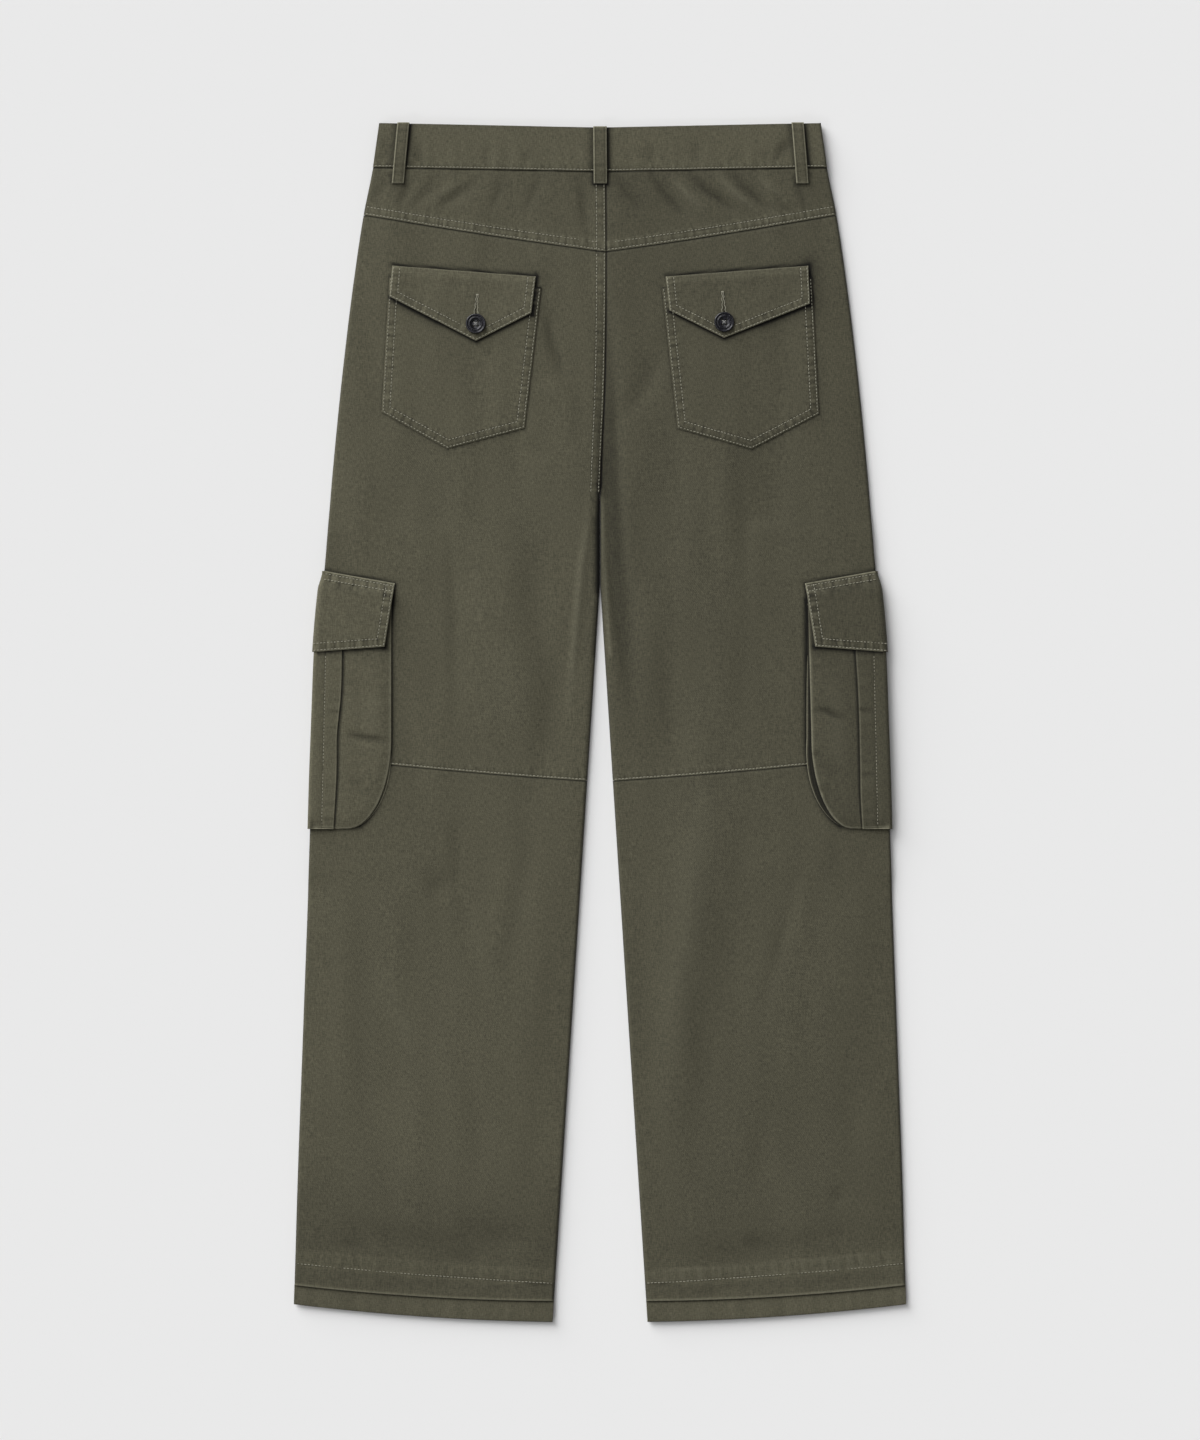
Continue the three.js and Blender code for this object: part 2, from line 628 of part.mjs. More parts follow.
// The stack of gusset, pouch and flap, on the back and under the front.
const POUCH_HIGH = BACK_TOP + GAP + CLOTH + GAP;
const POUCH_LOW = CARGO_LIFT - GAP;
const FLAP_HIGH = POUCH_HIGH + CLOTH + PLEAT + GAP;
const FLAP_LOW = CLOTH;
const POUCH_CLEAR = 0.7; // the pouch's fold stands this far outside the leg's
const FLAP_CLEAR = POUCH_CLEAR + CLOTH + PLEAT + 0.2;

function cargoPouch(side, name) {
  const depths = [0, 0.12, 0.3, 0.45, 0.6, 0.72, 0.82, 0.89, 0.94, 0.975, 1];
  const sections = depths.map((v) => {
    const yAt = (out) => mix(flapTopAt(out) - POUCH.belowFlap, POUCH.foot, v);
    const edgeY = yAt(POUCH.backEdge);
    const reach = sideEdge(yAt(CARGO_FLAP.sideTop.x)) + POUCH_CLEAR;
    const section = wrapSection({
      backEnd: pouchEdge(edgeY),
      frontEnd: pouchEdge(edgeY) - POUCH.frontShift,
      reach,
      high: POUCH_HIGH,
      low: POUCH_LOW,
      wall: CLOTH,
      raise: PLEAT,
      dome: v > 0.3 ? POUCH.dome * Math.sin(Math.PI * v) : 0,
    });
    const turn = section.findIndex((p) => p.x === Math.max(...section.map((q) => q.x)));
    return section.map((p, j) => ({ ...p, y: j <= turn ? yAt(p.x) : yAt(reach) }));
  });
  add(`cargo_pouch_${name}`, wallBetween(...wrapGrid(sections, side)));
}

function cargoFlap(side, name) {
  const { backTop, backFoot, frontEdge, sewnShare } = CARGO_FLAP;
  const depths = [0, sewnShare * 0.5, sewnShare, 0.5, 0.8, 1];
  const sections = depths.map((v) => {
    const rise = Math.min(v / sewnShare, 1);
    const yAt = (out) => mix(flapTopAt(out), flapFootAt(out), v);
    const sideY = mix(CARGO_FLAP.sideTop.y, CARGO_FLAP.sideFoot.y, v);
    const reach = sideEdge(sideY) + mix(0.6, FLAP_CLEAR, rise);
    const section = wrapSection({
      backEnd: mix(backTop.x, backFoot.x, v),
      frontEnd: frontEdge,
      reach,
      high: mix(BACK_TOP + GAP, FLAP_HIGH, rise),
      low: mix(POUCH_LOW, FLAP_LOW, rise),
      wall: CLOTH,
      raise: 0,
      dome: 0,
    });
    const turn = section.findIndex((p) => p.x === Math.max(...section.map((q) => q.x)));
    return section.map((p, j) => ({ ...p, y: j <= turn ? yAt(p.x) : yAt(reach) }));
  });
  add(`cargo_flap_${name}`, wallBetween(...wrapGrid(sections, side)));
}

// The gusset strip between a pouch and the leg, along the pouch's back edge and foot.
function cargoGusset(side, name) {
  const { standOut, corner } = GUSSET[name];
  const sideStop = 8; // the strip ends short of the folded side
  const straight = [0, 0.5, 1];
  const start = POUCH.foot + POUCH.cornerHeight;
  const down = straight.map((t) => ({ y: mix(104, start, t), angle: 0 }));
  const turns = [15, 30, 45, 60, 75, 90].map((angle) => ({ angle }));
  const line = (inset) => {
    const rim = [...down, ...turns].map(({ y, angle }) => {
      const turn = THREE.MathUtils.degToRad(angle);
      const push = standOut + (corner - standOut) * Math.sin(2 * turn) - inset;
      const width = POUCH.cornerWidth + push;
      const height = POUCH.cornerHeight + Math.min(push, 0);
      return {
        x: POUCH.backEdge + POUCH.cornerWidth - width * Math.cos(turn),
        y: angle === 0 ? y : start - height * Math.sin(turn),
      };
    });
    const foot = rim[rim.length - 1].y;
    const end = sideEdge(POUCH.foot) - sideStop;
    return [...rim, { x: end, y: foot + 1 }];
  };
  const lines = [line(0), line(GUSSET.width / 2), line(GUSSET.width)];
  const grid = (z) => lines.map((row) => row.map((p) => new THREE.Vector3(side * p.x, p.y, z)));
  add(`cargo_gusset_${name}`, wallBetween(grid(BACK_TOP + GAP), grid(BACK_TOP + GAP + CLOTH)));
}

function flyPlacket() {
  const shape = new THREE.Shape();
  shape.moveTo(-FLY.edge, FLY.top);
  shape.lineTo(-FLY.width, FLY.top);
  shape.lineTo(-FLY.width, FLY.straightTo);
  shape.bezierCurveTo(-FLY.width, FLY.foot + 12, -FLY.width * 0.6, FLY.foot, -FLY.edge, FLY.foot);
  shape.closePath();
  add("fly_placket", new THREE.ExtrudeGeometry(shape, { depth: CLOTH, bevelEnabled: false, curveSegments: 8 }));
}

legPanels(-1, "left");
legPanels(1, "right");
waistband("back", -SIDE_EDGE[0].x, SIDE_EDGE[0].x, BACK_BAND_FLOOR);
waistband("front_left", -SIDE_EDGE[0].x, TAB_END, BAND_FLOOR);
waistband("front_right", TAB_END + GAP, SIDE_EDGE[0].x, BAND_FLOOR);
beltLoops();
flyPlacket();
add("waist_button", buttonGeometry(WAIST_BUTTON.height), HORN).position.set(WAIST_BUTTON.x, WAIST_BUTTON.y, 0);
backPockets();
for (const [side, name] of [[-1, "left"], [1, "right"]]) {
  cargoGusset(side, name);
  cargoPouch(side, name);
  cargoFlap(side, name);
}

export default group;
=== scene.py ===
"""Cargo trousers laid flat with the back uppermost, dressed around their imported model.

Sizes and places are in millimetres, in the frame's axes: +Y to the waist, +X to the right seen
from above, +Z up. Meshes are written in metres.
"""

from __future__ import annotations

import logging
from dataclasses import dataclass, field
from enum import Enum
from typing import Callable, Sequence

import bpy
import numpy as np
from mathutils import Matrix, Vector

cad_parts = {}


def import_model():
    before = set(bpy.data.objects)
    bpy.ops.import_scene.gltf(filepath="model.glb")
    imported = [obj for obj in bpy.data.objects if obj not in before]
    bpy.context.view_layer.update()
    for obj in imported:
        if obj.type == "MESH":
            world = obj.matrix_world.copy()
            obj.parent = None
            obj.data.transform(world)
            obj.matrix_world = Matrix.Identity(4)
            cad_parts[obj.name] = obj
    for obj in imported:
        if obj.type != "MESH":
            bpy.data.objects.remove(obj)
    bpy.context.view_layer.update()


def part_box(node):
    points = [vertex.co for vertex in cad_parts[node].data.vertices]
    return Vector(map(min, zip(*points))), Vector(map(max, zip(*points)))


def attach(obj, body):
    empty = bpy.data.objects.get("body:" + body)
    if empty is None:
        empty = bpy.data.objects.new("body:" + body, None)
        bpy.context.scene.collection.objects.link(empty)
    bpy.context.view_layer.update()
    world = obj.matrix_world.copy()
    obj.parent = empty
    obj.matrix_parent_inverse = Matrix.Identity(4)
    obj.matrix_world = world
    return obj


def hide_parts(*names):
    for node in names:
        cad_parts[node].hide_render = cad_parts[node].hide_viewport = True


LOG = logging.getLogger("cargo_trousers")
Array = np.ndarray
Point = tuple[float, float]
Triple = tuple[float, float, float]
HeightAt = Callable[[Array, Array], Array]
Piece = bpy.types.Object
Socket = bpy.types.NodeSocket

MM = 0.001
CLOTH = 1.2
HEM = 2.0
GAP = 0.3
FRONT_INSET = 1.3


class Side(Enum):
    """A side of the garment, as its sign along +X. The wearer's and the viewer's agree."""

    LEFT = -1
    RIGHT = 1

    @property
    def label(self) -> str:
        """The side's name in lower case."""
        return self.name.lower()


def mix(start: Array | float, end: Array | float, share: Array | float) -> Array:
    """Value a share of the way from start to end."""
    return start + (end - start) * share


def smooth(low: float, high: float, value: Array | float) -> Array:
    """Smooth step from 0 at low to 1 at high."""
    t = np.clip((np.asarray(value, float) - low) / (high - low), 0, 1)
    return t * t * (3 - 2 * t)


def plateau(low: float, high: float, ramp: float, value: Array) -> Array:
    """1 from low to high, falling to 0 over the ramp outside them."""
    return smooth(low - ramp, low, value) * (1 - smooth(high, high + ramp, value))


def higher(first: Array, second: Array, blend: float = 1.0) -> Array:
    """The larger of two heights, rounded where they cross."""
    share = np.clip(0.5 + 0.5 * (first - second) / blend, 0, 1)
    return mix(second, first, share) + blend * share * (1 - share)


def arc_share(distance: Array, radius: float) -> Array:
    """Height of a quarter circle's curve, from 0 at its rim to 1 a radius inside."""
    return np.sqrt(np.clip(1 - ((radius - np.clip(distance, 0, radius)) / radius) ** 2, 0, 1))


def through(table: Sequence[Point], at: Array | float) -> Array:
    """Smooth curve through (position, value) rows.

    Args:
        table: rows in rising or falling order of position.
        at: positions to read the curve at; those outside take the end values.

    Returns:
        The curve's values.
    """
    rows = np.array(sorted(table), float)
    places, values = rows[:, 0], rows[:, 1]
    slopes = np.gradient(values, places) if len(rows) > 2 else np.full(2, np.ptp(values) / np.ptp(places))
    at = np.clip(np.asarray(at, float), places[0], places[-1])
    low = np.clip(np.searchsorted(places, at) - 1, 0, len(places) - 2)
    span = places[low + 1] - places[low]
    t = (at - places[low]) / span
    pull = (1 - t) * slopes[low] - t * slopes[low + 1]
    return mix(values[low], values[low + 1], t * t * (3 - 2 * t)) + t * (1 - t) * span * pull


def bell(distance: Array | float, width: float) -> Array:
    """1 at no distance, falling to 0 at about two widths."""
    return np.exp(-((distance / width) ** 2))


def ripple(along: Array, seed: int, pitches: Sequence[float] = (5.3, 7.9, 12.7)) -> Array:
    """Uneven wave of about unit height along a seam.

    Args:
        along: distances along the seam.
        seed: seed of the wave's phases.
        pitches: wavelengths that are added up.

    Returns:
        The wave's height.
    """
    rng = np.random.default_rng(seed)
    total = np.zeros_like(along, dtype=float)
    for pitch in pitches:
        wander = np.sin(2 * np.pi * along / (pitch * rng.uniform(4, 7)) + rng.uniform(0, 6))
        total += np.sin(2 * np.pi * along / pitch + rng.uniform(0, 6) + 1.3 * wander)
    return total / len(pitches)


def stations(
    length: float, start: Sequence[float], end: Sequence[float], step: float, count: int = 0,
) -> Array:
    """Distances along a length, close together at its ends and even between them.

    Args:
        length: the whole length.
        start: rising distances from the start.
        end: rising distances from the end.
        step: largest spacing between the two.
        count: number of spaces between the two, where it isn't worked out from the step.

    Returns:
        Rising distances from 0 to the length.
    """
    low, high = start[-1], length - end[-1]
    count = count or max(2, int(np.ceil((high - low) / step)))
    even = np.linspace(low, high, count + 1)
    return np.concatenate([start[:-1], even, (length - np.array(end[:-1], float))[::-1]])


def even_ends(length: float, ends: Sequence[float], step: float) -> Array:
    """Stations along a length whose two ends are alike."""
    return stations(length, ends, ends, step)


@dataclass(frozen=True)
class Seam:
    """A line across a leg, from the inseam or centre to the side."""

    inner: float
    outer: float
    bow: float = 0.0

    def at(self, share: Array | float) -> Array:
        """Height along the garment at a share of the way from the inner end to the side."""
        return mix(self.inner, self.outer, share) + self.bow * 4 * share * (1 - share)

    def moved(self, by: float) -> Seam:
        """The same line, moved along the garment."""
        return Seam(self.inner + by, self.outer + by, self.bow)


@dataclass(frozen=True)
class Outline:
    """The garment's lines as laid: its sides, inseams and the seams across its legs."""

    side_table: tuple[Point, ...] = (
        (527.1, 194), (487, 199.5), (447, 207.7), (389, 216.5), (318, 225.3), (213, 235.8), (134, 242.2),
        (98, 246), (60, 249), (0, 251.6), (-51, 253.6), (-104, 255.2), (-262, 260.9), (-421, 266.6),
        (-512, 269.1),
    )
    centre_table: tuple[Point, ...] = ((487, 4.8), (413, 5.2), (283, 3.5), (239, 1.5), (198, 0))
    back_fork: float = 198
    front_fork: float = 117
    slit: float = 0.4
    inseam_slope: float = 0.0642
    band_top: Seam = Seam(522.2, 526.1)
    waist: Seam = Seam(483.4, 487.1)
    yoke: Seam = Seam(413.2, 445.7, -1)
    knee: Seam = Seam(-51.6, -30, -1.5)
    hem_stitch: Seam = Seam(-493.2, -475.6, -1.4)
    back_hem: Seam = Seam(-508.9, -494.9, -3.2)
    front_hem: Seam = Seam(-527.4, -511.8, -3.1)

    def side(self, y: Array | float) -> Array:
        """Half width of the garment at a height along it."""
        return through(self.side_table, y)

    def inseam(self, y: Array | float) -> Array:
        """Distance of the inseam from the middle line."""
        return self.slit + np.clip(self.front_fork - np.asarray(y, float), 0, None) * self.inseam_slope

    def back_inner(self, side: Side, y: Array | float) -> Array:
        """Distance outwards of a back's inner edge from the middle line."""
        seam = side.value * through(self.centre_table, y) + GAP / 2
        parted = 1 - smooth(self.back_fork - 8, self.back_fork, y)
        return mix(seam, self.inseam(y), parted)

    def front_inner(self, y: Array | float) -> Array:
        """Distance of a front's inner edge from the middle line."""
        parted = 1 - smooth(self.front_fork - 4, self.front_fork, y)
        return mix(GAP / 2, self.inseam(y) + FRONT_INSET, parted)

    def share(self, out: Array, y: Array) -> Array:
        """Share of the way across a leg from the inseam to the side."""
        inner = self.inseam(y)
        return np.clip((out - inner) / (self.side(y) - inner), 0, 1)

    def seam_line(self, side: Side, seam: Seam, low: float = 0.0, high: float = 1.0) -> EdgeLine:
        """A seam across a leg as a line seen from above.

        Args:
            side: the leg.
            seam: the line across it.
            low: share of the way across at which the line starts.
            high: share at which it ends.

        Returns:
            The line.
        """
        share = np.linspace(low, high, 33)
        y = seam.at(share)
        inner = self.back_inner(side, y)
        out = mix(inner, self.side(y), share)
        return plotted(side.value * out, y)


@dataclass(frozen=True)
class EdgeLine:
    """A line seen from above, along an edge or a row of stitches."""

    points: Array

    def nearest(self, x: Array, y: Array) -> tuple[Array, Array]:
        """Distance of each place from the line, and how far along the line its nearest point is."""
        best = np.full(x.shape, np.inf)
        along = np.zeros(x.shape)
        travelled = 0.0
        for (ax, ay), (bx, by) in zip(self.points[:-1], self.points[1:]):
            dx, dy = bx - ax, by - ay
            length = float(np.hypot(dx, dy))
            t = np.clip(((x - ax) * dx + (y - ay) * dy) / length**2, 0, 1)
            away = np.hypot(x - ax - t * dx, y - ay - t * dy)
            along = np.where(away < best, travelled + t * length, along)
            best = np.minimum(best, away)
            travelled += length
        return best, along

    def inset(self, by: float, towards: Point) -> EdgeLine:
        """The line moved sideways, with mitred corners.

        Args:
            by: distance to move.
            towards: a place on the side to move to.

        Returns:
            The moved line.
        """
        step = np.diff(self.points, axis=0)
        normal = np.stack([-step[:, 1], step[:, 0]], 1) / np.hypot(*step.T)[:, None]
        middle = (self.points[:-1] + self.points[1:]) / 2
        normal *= np.sign(((np.array(towards) - middle) * normal).sum(1))[:, None]
        first = np.vstack([normal[:1], normal])
        second = np.vstack([normal, normal[-1:]])
        bisector = (first + second) / (1 + (first * second).sum(1))[:, None]
        return EdgeLine(self.points + by * bisector)

    def places(self, pitch: float, trim: float = 0.0) -> tuple[Array, Array]:
        """Even places along the line, and its direction at each.

        Args:
            pitch: spacing of the places.
            trim: length left out at each end.

        Returns:
            The places and the unit directions, one row for each.
        """
        step = np.diff(self.points, axis=0)
        lengths = np.hypot(*step.T)
        ends = np.concatenate([[0], np.cumsum(lengths)])
        count = max(2, int((ends[-1] - 2 * trim) / pitch))
        at = np.linspace(trim + pitch / 2, ends[-1] - trim - pitch / 2, count)
        low = np.clip(np.searchsorted(ends, at) - 1, 0, len(lengths) - 1)
        direction = step[low] / lengths[low][:, None]
        return self.points[low] + direction * (at - ends[low])[:, None], direction


def plotted(x: Array, y: Array) -> EdgeLine:
    """The line through places given as their x and their y."""
    return EdgeLine(np.column_stack([x, y]))


def traced(*places: Point) -> EdgeLine:
    """The line through some places."""
    return EdgeLine(np.array(places, float))


@dataclass(frozen=True)
class Crease:
    """A soft trough, below zero, or ridge, above it, along a path seen from above."""

    path: tuple[Point, ...]
    width: float
    height: float

    def relief(self, x: Array, y: Array) -> Array:
        """Height that the crease adds at each place."""
        points = np.array(self.path, float)
        reach = 3 * self.width
        near = (
            (x > points[:, 0].min() - reach) & (x < points[:, 0].max() + reach)
            & (y > points[:, 1].min() - reach) & (y < points[:, 1].max() + reach)
        )
        total = np.zeros_like(x)
        if near.any():
            line = EdgeLine(points)
            away, along = line.nearest(x[near], y[near])
            share = along / np.hypot(*np.diff(points, axis=0).T).sum()
            taper = np.minimum(1, 0.1 + 3.7 * share * (1 - share))
            total[near] = self.height * taper * bell(away, self.width)
        return total

    def wear_and_shade(self, x: Array, y: Array) -> Array:
        """Painted shade in a trough, below zero, and painted highlight on a ridge, above it, stronger on a sharp
        crease.
        """
        return self.relief(x, y) * 0.9 / (self.width + 1)


def creases(*rows: Sequence[float]) -> tuple[Crease, ...]:
    """Creases from rows of their width, their height, and the x and y of each place on their path."""
    return tuple(Crease(tuple(zip(row[2::2], row[3::2])), *row[:2]) for row in rows)


CREASES = creases(
    # Width and height, then the path's places
    # Left leg
    (14, -1.5, -73, 205, -62, 143, -53, 77, -42, 33, -50, -20, -62, -80),
    (24, 0.8, -88, 70, -84, 20, -88, -20),
    (9, -0.6, -136, 156, -131, 80, -128, -20),
    (7, -0.4, -155, 105, -152, 40, -153, -40),
    (8, 0.4, -110, 180, -106, 110, -100, 60),
    (7, -0.6, -62, 250, -54, 238, -46, 230),
    (9, -0.5, -64, -50, -64, -120, -74, -180, -90, -232),
    (9, -0.8, -146, -124, -143, -140, -142, -160),
    (8, -0.4, -121, -55, -127, -140, -115, -200, -97, -255),
    (10, -0.4, -207, -100, -208, -200, -210, -300, -216, -385),
    (10, 0.7, -188, -215, -176, -255, -156, -296),
    (8, -0.3, -240, -140, -238, -230, -241, -330),
    (9, -0.3, -40, -150, -45, -250, -52, -340),
    (12, -0.4, -118, -300, -110, -360, -112, -420),
    (13, -0.7, -246, -446, -190, -452, -135, -462, -70, -460),
    (5, -0.5, -230, -458, -206, -462),
    (6, -0.6, -130, -468, -104, -474),
    # Right leg
    (14, -1.3, 20, 205, 24, 120, 32, 30, 42, -40),
    (24, 0.9, 110, 130, 100, 40, 86, -60, 74, -200, 60, -300, 50, -370),
    (13, -0.9, 152, 232, 140, 120, 126, 20, 122, -30),
    (16, -0.35, 138, -58, 118, -145, 98, -245, 84, -400),
    (7, -0.5, 181, -70, 168, -160, 150, -225, 136, -275),
    (6, -0.7, 205, -96, 204, -142),
    (5, -0.5, 232, -105, 230, -135),
    (11, -0.7, 62, 350, 48, 318, 36, 288),
    (13, -0.5, 52, 268, 74, 214, 82, 150),
    (12, 0.5, 170, 215, 176, 120, 172, 20),
    (8, -0.4, 60, 30, 64, -20, 68, -48),
    (8, -0.4, 34, -120, 36, -220, 40, -330),
    (11, -0.6, 150, -330, 140, -390, 134, -420),
    (12, -0.5, 215, -230, 222, -320, 224, -380),
    (14, -0.7, 58, -466, 110, -470, 170, -462, 235, -450),
    (7, -0.6, 206, -408, 214, -424),
    (6, -0.7, 128, -452, 146, -466),
    # Inner thigh, seat and crotch
    (8.5, -3.6, 4, 380, 6, 300, 9, 235, 12, 185, 14, 140, 19, 90, 27, 20),
    (3.6, 0.9, -7, 214, -11, 169, -16.5, 134, -22, 72, -28, 0),
    (13, 0.7, -222, 330, -231, 240, -238, 150),
    (26, -0.9, 22, 262, 38, 180, 46, 80),
    (5.0, -1.4, -46, 362, -43, 338, -36, 318, -30, 298),
    (8, 0.5, -52, 300, -44, 290, -36, 286),
    (8, -0.7, 54, 322, 36, 290, 17, 262),
    (13, -1.1, -128, -440, -88, -452, -48, -455),
    (9, -0.5, -24, 330, -20, 280, -16, 230),
    (15, 0.9, 94, -60, 79, -150, 66, -262, 56, -362),
    # Yoke
    (3.4, -0.6, -186, 481, -191, 470, -199, 458),
    (4.2, -0.9, -166, 483, -169, 470, -176, 452),
    (4.0, -0.6, -143, 483, -148, 469, -166, 450),
    (4.4, -0.9, -105, 478, -117, 468, -143, 452),
    (5.0, 0.5, -122, 478, -136, 464, -150, 452),
    (3.2, -0.6, -84, 482, -89, 465, -96, 448),
    (3.6, -0.6, -52, 482, -59, 462, -66, 446),
    (4.2, -1.0, -20, 484, -15, 460, -11, 432),
    (3.8, -1.2, 14, 480, 22, 466, 40, 446),
    (3.6, -1.6, 44, 484, 55, 466, 76, 442),
    (4.0, 0.8, 60, 482, 76, 464, 95, 446),
    (3.8, -2.0, 74, 486, 92, 468, 122, 446),
    (4.0, 0.9, 100, 483, 118, 465, 142, 447),
    (3.6, -1.8, 112, 486, 128, 468, 152, 447),
    (4.0, 0.7, 136, 483, 152, 466, 166, 450),
    (2.6, -0.9, 150, 466, 160, 454, 170, 445),
    (3.2, -0.9, 168, 482, 177, 464, 184, 446),
)

CALM_SPOTS: tuple[Triple, ...] = ((-109, 349.4, 24), (108.9, 350.8, 24))


@dataclass(frozen=True)
class Drape:
    """Height of the laid cloth: what lifts each layer, the air between them, and the creases."""

    outline: Outline = Outline()
    fullness: float = 3.5
    roll: float = 34
    roll_start: float = 0.55
    waist_lift: float = 3.2
    hem_lift: float = 2.2
    yoke_extra: float = 0.8
    cargo_lift: float = 3.5
    fly_lift: float = 1.5
    fold_radius: float = 2.6
    floor_clear: float = 0.3
    wave_height: float = 0.42
    crease_gain: float = 1.3
    wave_seed: int = 11

    def front_lift(self, out: Array, y: Array) -> Array:
        """How far the front is lifted off the surface by what lies under it."""
        waist = self.waist_lift * smooth(430, 483, y)
        cargo = self.cargo_lift * smooth(105, 140, out) * plateau(-128, 165, 35, y)
        fly = self.fly_lift * (1 - smooth(66, 101, out)) * smooth(247, 282, y)
        hem = self.hem_lift * (1 - smooth(0, 48, y - self.outline.front_hem.at(self.outline.share(out, y))))
        return higher(higher(waist, cargo, 0.4), fly, 0.4) + hem

    def roll_share(self, distance: Array) -> Array:
        """Share of the full height at a distance from a folded edge."""
        return mix(self.roll_start, 1, 1 - (1 - np.clip(distance / self.roll, 0, 1)) ** 1.6)

    def waves(self, x: Array, y: Array) -> Array:
        """Faint irregular waves of the whole cloth, which mostly run along the legs."""
        rng = np.random.default_rng(self.wave_seed)
        total = np.zeros_like(x)
        count = 22
        for _ in range(count):
            length = rng.uniform(26, 130)
            turn = rng.normal(0, 0.42)
            phase = rng.uniform(0, 2 * np.pi)
            across = x * np.cos(turn) + y * np.sin(turn) * 0.55
            total += np.sin(2 * np.pi * across / length + phase) * (length / 130) ** 0.8
        calm = mix(0.6, 1.15, smooth(-70, -10, y))
        return total * calm * self.wave_height / np.sqrt(count / 2) * 1.6

    def relief(self, x: Array, y: Array) -> Array:
        """Creases and waves of the back, fading out round the buttons."""
        total = self.waves(x, y)
        for crease in CREASES:
            total += self.crease_gain * crease.relief(x, y)
        for cx, cy, radius in CALM_SPOTS:
            total *= 1 - np.exp(-(((x - cx) ** 2 + (y - cy) ** 2) / radius**2))
        return total

    def tone(self, x: Array, y: Array) -> Array:
        """Painted shade and highlight of the back's creases, and darker cloth over the hems, more on the left."""
        hem = self.outline.hem_stitch.at(self.outline.share(np.abs(x), y))
        # Darker over the hems, more on the left leg
        kept = -np.where(x < 0, 0.17, 0.03) * (1 - smooth(30, 130, y - hem))
        # Painted shade in the creases' troughs and painted highlight on their ridges
        return sum((crease.wear_and_shade(x, y) for crease in CREASES), kept)

    def back_floor(self, side: Side, x: Array, y: Array) -> Array:
        """Height of the back's underside, before it turns down at its folded edges."""
        out = side.value * x
        outline = self.outline
        lift = self.front_lift(out, y)
        split = 1 - smooth(outline.back_fork, outline.back_fork + 45, y)
        inner = mix(1, self.roll_share(out - outline.inseam(y)), split)
        edge = self.roll_share(outline.side(y) - out) * inner
        stitch = outline.hem_stitch.at(outline.share(out, y))
        hem = 1 - smooth(5, 45, y - stitch)
        pressed = 1 - smooth(0, 16, y - outline.back_hem.at(outline.share(out, y)))
        air = self.fullness * edge * (1 - 0.55 * hem) * (1 - 0.9 * pressed)
        folded = higher(air + self.relief(x, y) * edge, np.zeros_like(x), 0.5)
        waist = self.yoke_extra * smooth(430, 483, y)
        return CLOTH + GAP + higher(lift, folded) + waist + (HEM - CLOTH) * hem

    def fold_low(self, out: Array, y: Array) -> Array:
        """Height that a folded edge turns down to."""
        fork = self.outline.front_fork
        between = smooth(fork - 5, fork + 3, y) * (out < 40)
        return mix(self.floor_clear, CLOTH + GAP, between) + self.front_lift(out, y)

    def folded(self, side: Side, x: Array, y: Array, top: Array, radius: float) -> Array:
        """A face of the back with its folded edges turned down.

        Args:
            side: the leg.
            x: places across.
            y: places along.
            top: the face's height before it turns down.
            radius: how far from the edge it starts to turn.

        Returns:
            The face's height.
        """
        out = side.value * x
        outline = self.outline
        low = self.fold_low(out, y)
        split = 1 - smooth(outline.back_fork - 8, outline.back_fork + 4, y)
        inner = mix(1, arc_share(out - outline.back_inner(side, y), radius), split)
        return low + (top - low) * arc_share(outline.side(y) - out, radius) * inner

    def back_face(self, side: Side, x: Array, y: Array) -> Array:
        """Outer face of the back."""
        return self.folded(side, x, y, self.back_floor(side, x, y) + CLOTH, self.fold_radius)

    def back_underside(self, side: Side, x: Array, y: Array) -> Array:
        """Inner face of the back."""
        return self.folded(side, x, y, self.back_floor(side, x, y), self.fold_radius - CLOTH) - 0.02


DRAPE = Drape()


@dataclass(frozen=True)
class Lap:
    """A turned and topstitched edge that lies over its neighbour."""

    rows: tuple[float, ...] = (1.5, 7.5)
    band: float = 9.0
    swell: float = 0.2
    sink: float = 0.3
    pucker: float = 0.3
    rim: float = 1.1
    soft: float = 0.0
    # Above zero the edge is abraded light; below zero it gets a painted dark outline
    rub: float = 0.75
    seed: int = 1
    # How strongly the puckers are painted light on top and dark in the hollows
    contrast: float = 0.5
    tone: float = -0.04
    pitches: tuple[float, ...] = (4.1, 6.3, 9.7)

    @property
    def offsets(self) -> tuple[float, ...]:
        """Distances from the edge at which its form needs lines."""
        near = {0.0, 0.12, 0.4, 0.8, 1.3}
        for row in self.rows:
            near |= {row - 0.6, row, row + 0.6}
        near |= {self.band - 0.8, self.band + 0.2, self.band + 1.2, self.band / 2, self.band + 3}
        kept = [0.0]
        for distance in sorted(near):
            if distance - kept[-1] > 0.11:
                kept.append(distance)
        return tuple(kept)

    def lift(self, distance: Array, along: Array) -> Array:
        """How far the turning raises the whole wall."""
        return self.swell * (1 - smooth(self.band - 0.8, self.band + 1.2, distance))

    def relief(self, distance: Array, along: Array) -> Array:
        """Form of the outer face alone: rounded rim, stitch grooves and puckers."""
        total = -self.rim * (1 - arc_share(distance, self.rim)) - self.soft * bell(distance, 4)
        for row in self.rows:
            total = total - self.sink * bell(distance - row, 0.6)
        window = smooth(0.4, 2, distance) * (1 - smooth(self.band, self.band + 7, distance))
        return total + self.pucker * window * ripple(along, self.seed, self.pitches)

    def wear_and_shade(self, distance: Array, along: Array) -> Array:
        """Edge abrasion, painted shade on the needle rows, puckers painted light on top and dark below."""
        total = self.rub * bell(distance - 0.7, 0.75)
        for row in self.rows:
            total = total - 0.25 * bell(distance - row, 0.6)
        band = smooth(0.5, 1.8, distance) * (1 - smooth(self.band - 0.6, self.band + 1, distance))
        return total + band * (self.contrast * ripple(along, self.seed, self.pitches) + self.tone)


